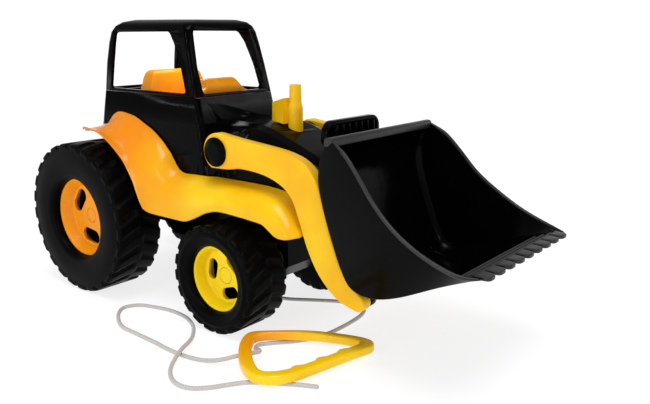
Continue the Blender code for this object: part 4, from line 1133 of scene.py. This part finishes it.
def pull_handle():
    """Rounded loop with finger bumps on its far bar and a hole for the cord in its near bar."""
    opening = catmull(HANDLE_OPENING, 8, closed=True)
    for point in opening:
        if point.x > 322 and -135 < point.y < -62:
            turn = (point.y - FINGER_FIRST_Y) / FINGER_PITCH * 2 * math.pi
            point.x -= FINGER_BUMP * max(0.0, math.cos(turn))
    outline = catmull(HANDLE_OUTLINE, 8, closed=True)
    handle = prism("plan", [outline, opening], HANDLE_LOW, HANDLE_HIGH, 2.6, 4)
    enters, leaves = (Vector(p) for p in CORD_ROUTE[AT_HANDLE:AT_HANDLE + 2])
    way = bar(CORD_R + 0.8, 12, -12, 24, (0, 0, 0), 0)
    aim = Vector((0, 0, 1)).rotation_difference(enters - leaves)
    way.transform(Matrix.Translation((enters + leaves) / 2) @ aim.to_matrix().to_4x4())
    return piece("pull_handle", "moulding", boolean(handle, "DIFFERENCE", way), handle_orange, sharp=45)


def braided(points, radius, step):
    """Cord of crossing strands with round ends, its points a step apart, its valleys as grooves."""
    angles = [2 * math.pi * k / CORD_SIDES for k in range(CORD_SIDES)]
    rings, depths = [], []
    last = len(points) - 1
    for i, (point, normal, across) in enumerate(sections(points)):
        turns = 2 * math.pi * i * step / BRAID_TURN
        from_end = min(i, last - i) * step
        end = math.sqrt(1 - (1 - from_end / radius) ** 2) if from_end < radius else 1.0
        ring = []
        for angle in angles:
            height = max(abs(math.sin(2 * (angle + turns))), abs(math.sin(2 * (angle - turns))))
            size = radius * (0.86 + 0.14 * height) * max(end, 0.15)
            ring.append(point + (normal * math.cos(angle) + across * math.sin(angle)) * size)
            depths.append(1 - height)
        rings.append(ring)
    return grooved(rings, depths, False)


def stopper_knot():
    """The cord's knot inside the frame, a trefoil pulled tight."""
    wide, deep, high = KNOT_SIZE
    loop = []
    for k in range(97):
        t = 2 * math.pi * k / 96
        loop.append(Vector(KNOT_PLACE) + Vector((wide * (math.sin(t) + 2 * math.sin(2 * t)),
                                                 deep * (math.cos(t) - 2 * math.cos(2 * t)),
                                                 -high * math.sin(3 * t))))
    points = evenly(loop, round(length_of(loop) / KNOT_STEP))
    return piece("tow_knot", "tied", braided(points, KNOT_R, KNOT_STEP), cord_white, sharp=60)


def pull_cord():
    """The cord from the base frame through the handle to its bare end, with handle and knot."""
    line = catmull(CORD_ROUTE, 12)
    total = length_of(line)
    points = evenly(line, round(total / CORD_STEP))
    obj = piece("pull_cord", "braid", braided(points, CORD_R, CORD_STEP), cord_white, sharp=60)
    handle = pull_handle()
    knot = stopper_knot()
    exit_point = tuple(ROW @ Vector(CORD_ROUTE[0]))


# ---- build

camera()
studio()

# The second tuples of yellow, hub_yellow and handle_orange are painted light: brighter, yellower colour
# towards the front
yellow = moulded("yellow_plastic", (0.80, 0.235, 0.004), (0.88, 0.29, 0.006), 0.22, 0.22,
                 ((0.86, 0.42, 0.004), (0.93, 0.60, 0.006), -0.13, -0.04), subsurface=0.05)
hub_yellow = moulded("hub_plastic", (0.90, 0.31, 0.006), (0.98, 0.37, 0.008), 0.28, 0.2,
                     ((0.92, 0.62, 0.006), (0.97, 0.76, 0.010), -0.15, -0.02), subsurface=0.05)
orange = moulded("orange_plastic", (0.82, 0.27, 0.004), (0.90, 0.34, 0.006), 0.24, 0.2,
                 subsurface=0.05)
handle_orange = moulded("handle_plastic", (0.86, 0.30, 0.004), (0.95, 0.42, 0.008), 0.22, 0.3,
                        ((0.88, 0.48, 0.004), (0.97, 0.66, 0.008), 0.075, 0.11), subsurface=0.05)
black = moulded("black_plastic", (0.0006, 0.0006, 0.0008), (0.0011, 0.0011, 0.0013), 0.12, 0.04,
                scuff=0.05)
bucket_black = moulded("bucket_plastic", (0.0006, 0.0006, 0.0007), (0.0011, 0.0011, 0.0012),
                       0.14, 0.05, scuff=0.06)
# Lighter grey for the rolled edges, rim bead, lip ridges and teeth: painted highlight, with real scuffs on
# top
painted_edge_highlight = moulded("bucket_edge_painted_highlight", (0.010, 0.010, 0.011), (0.024, 0.024, 0.025),
                      0.36, 0.3, scuff=0.3)
black_tyre = tyre_material()
steel = steel_material()
cord_white = cord_material()

pull_cord()
for end in ("rear", "front"):
    for word, side in SIDES:
        wheel(end, word, side)
fender_moulding()
body_shell()
cab_frame()
seat()
dashboard()
hood_fittings()
screws()
axles()
loader_fittings()
bucket()
bucket_grip()

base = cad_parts["base_frame"]
base.data.materials.clear()
base.data.materials.append(black)
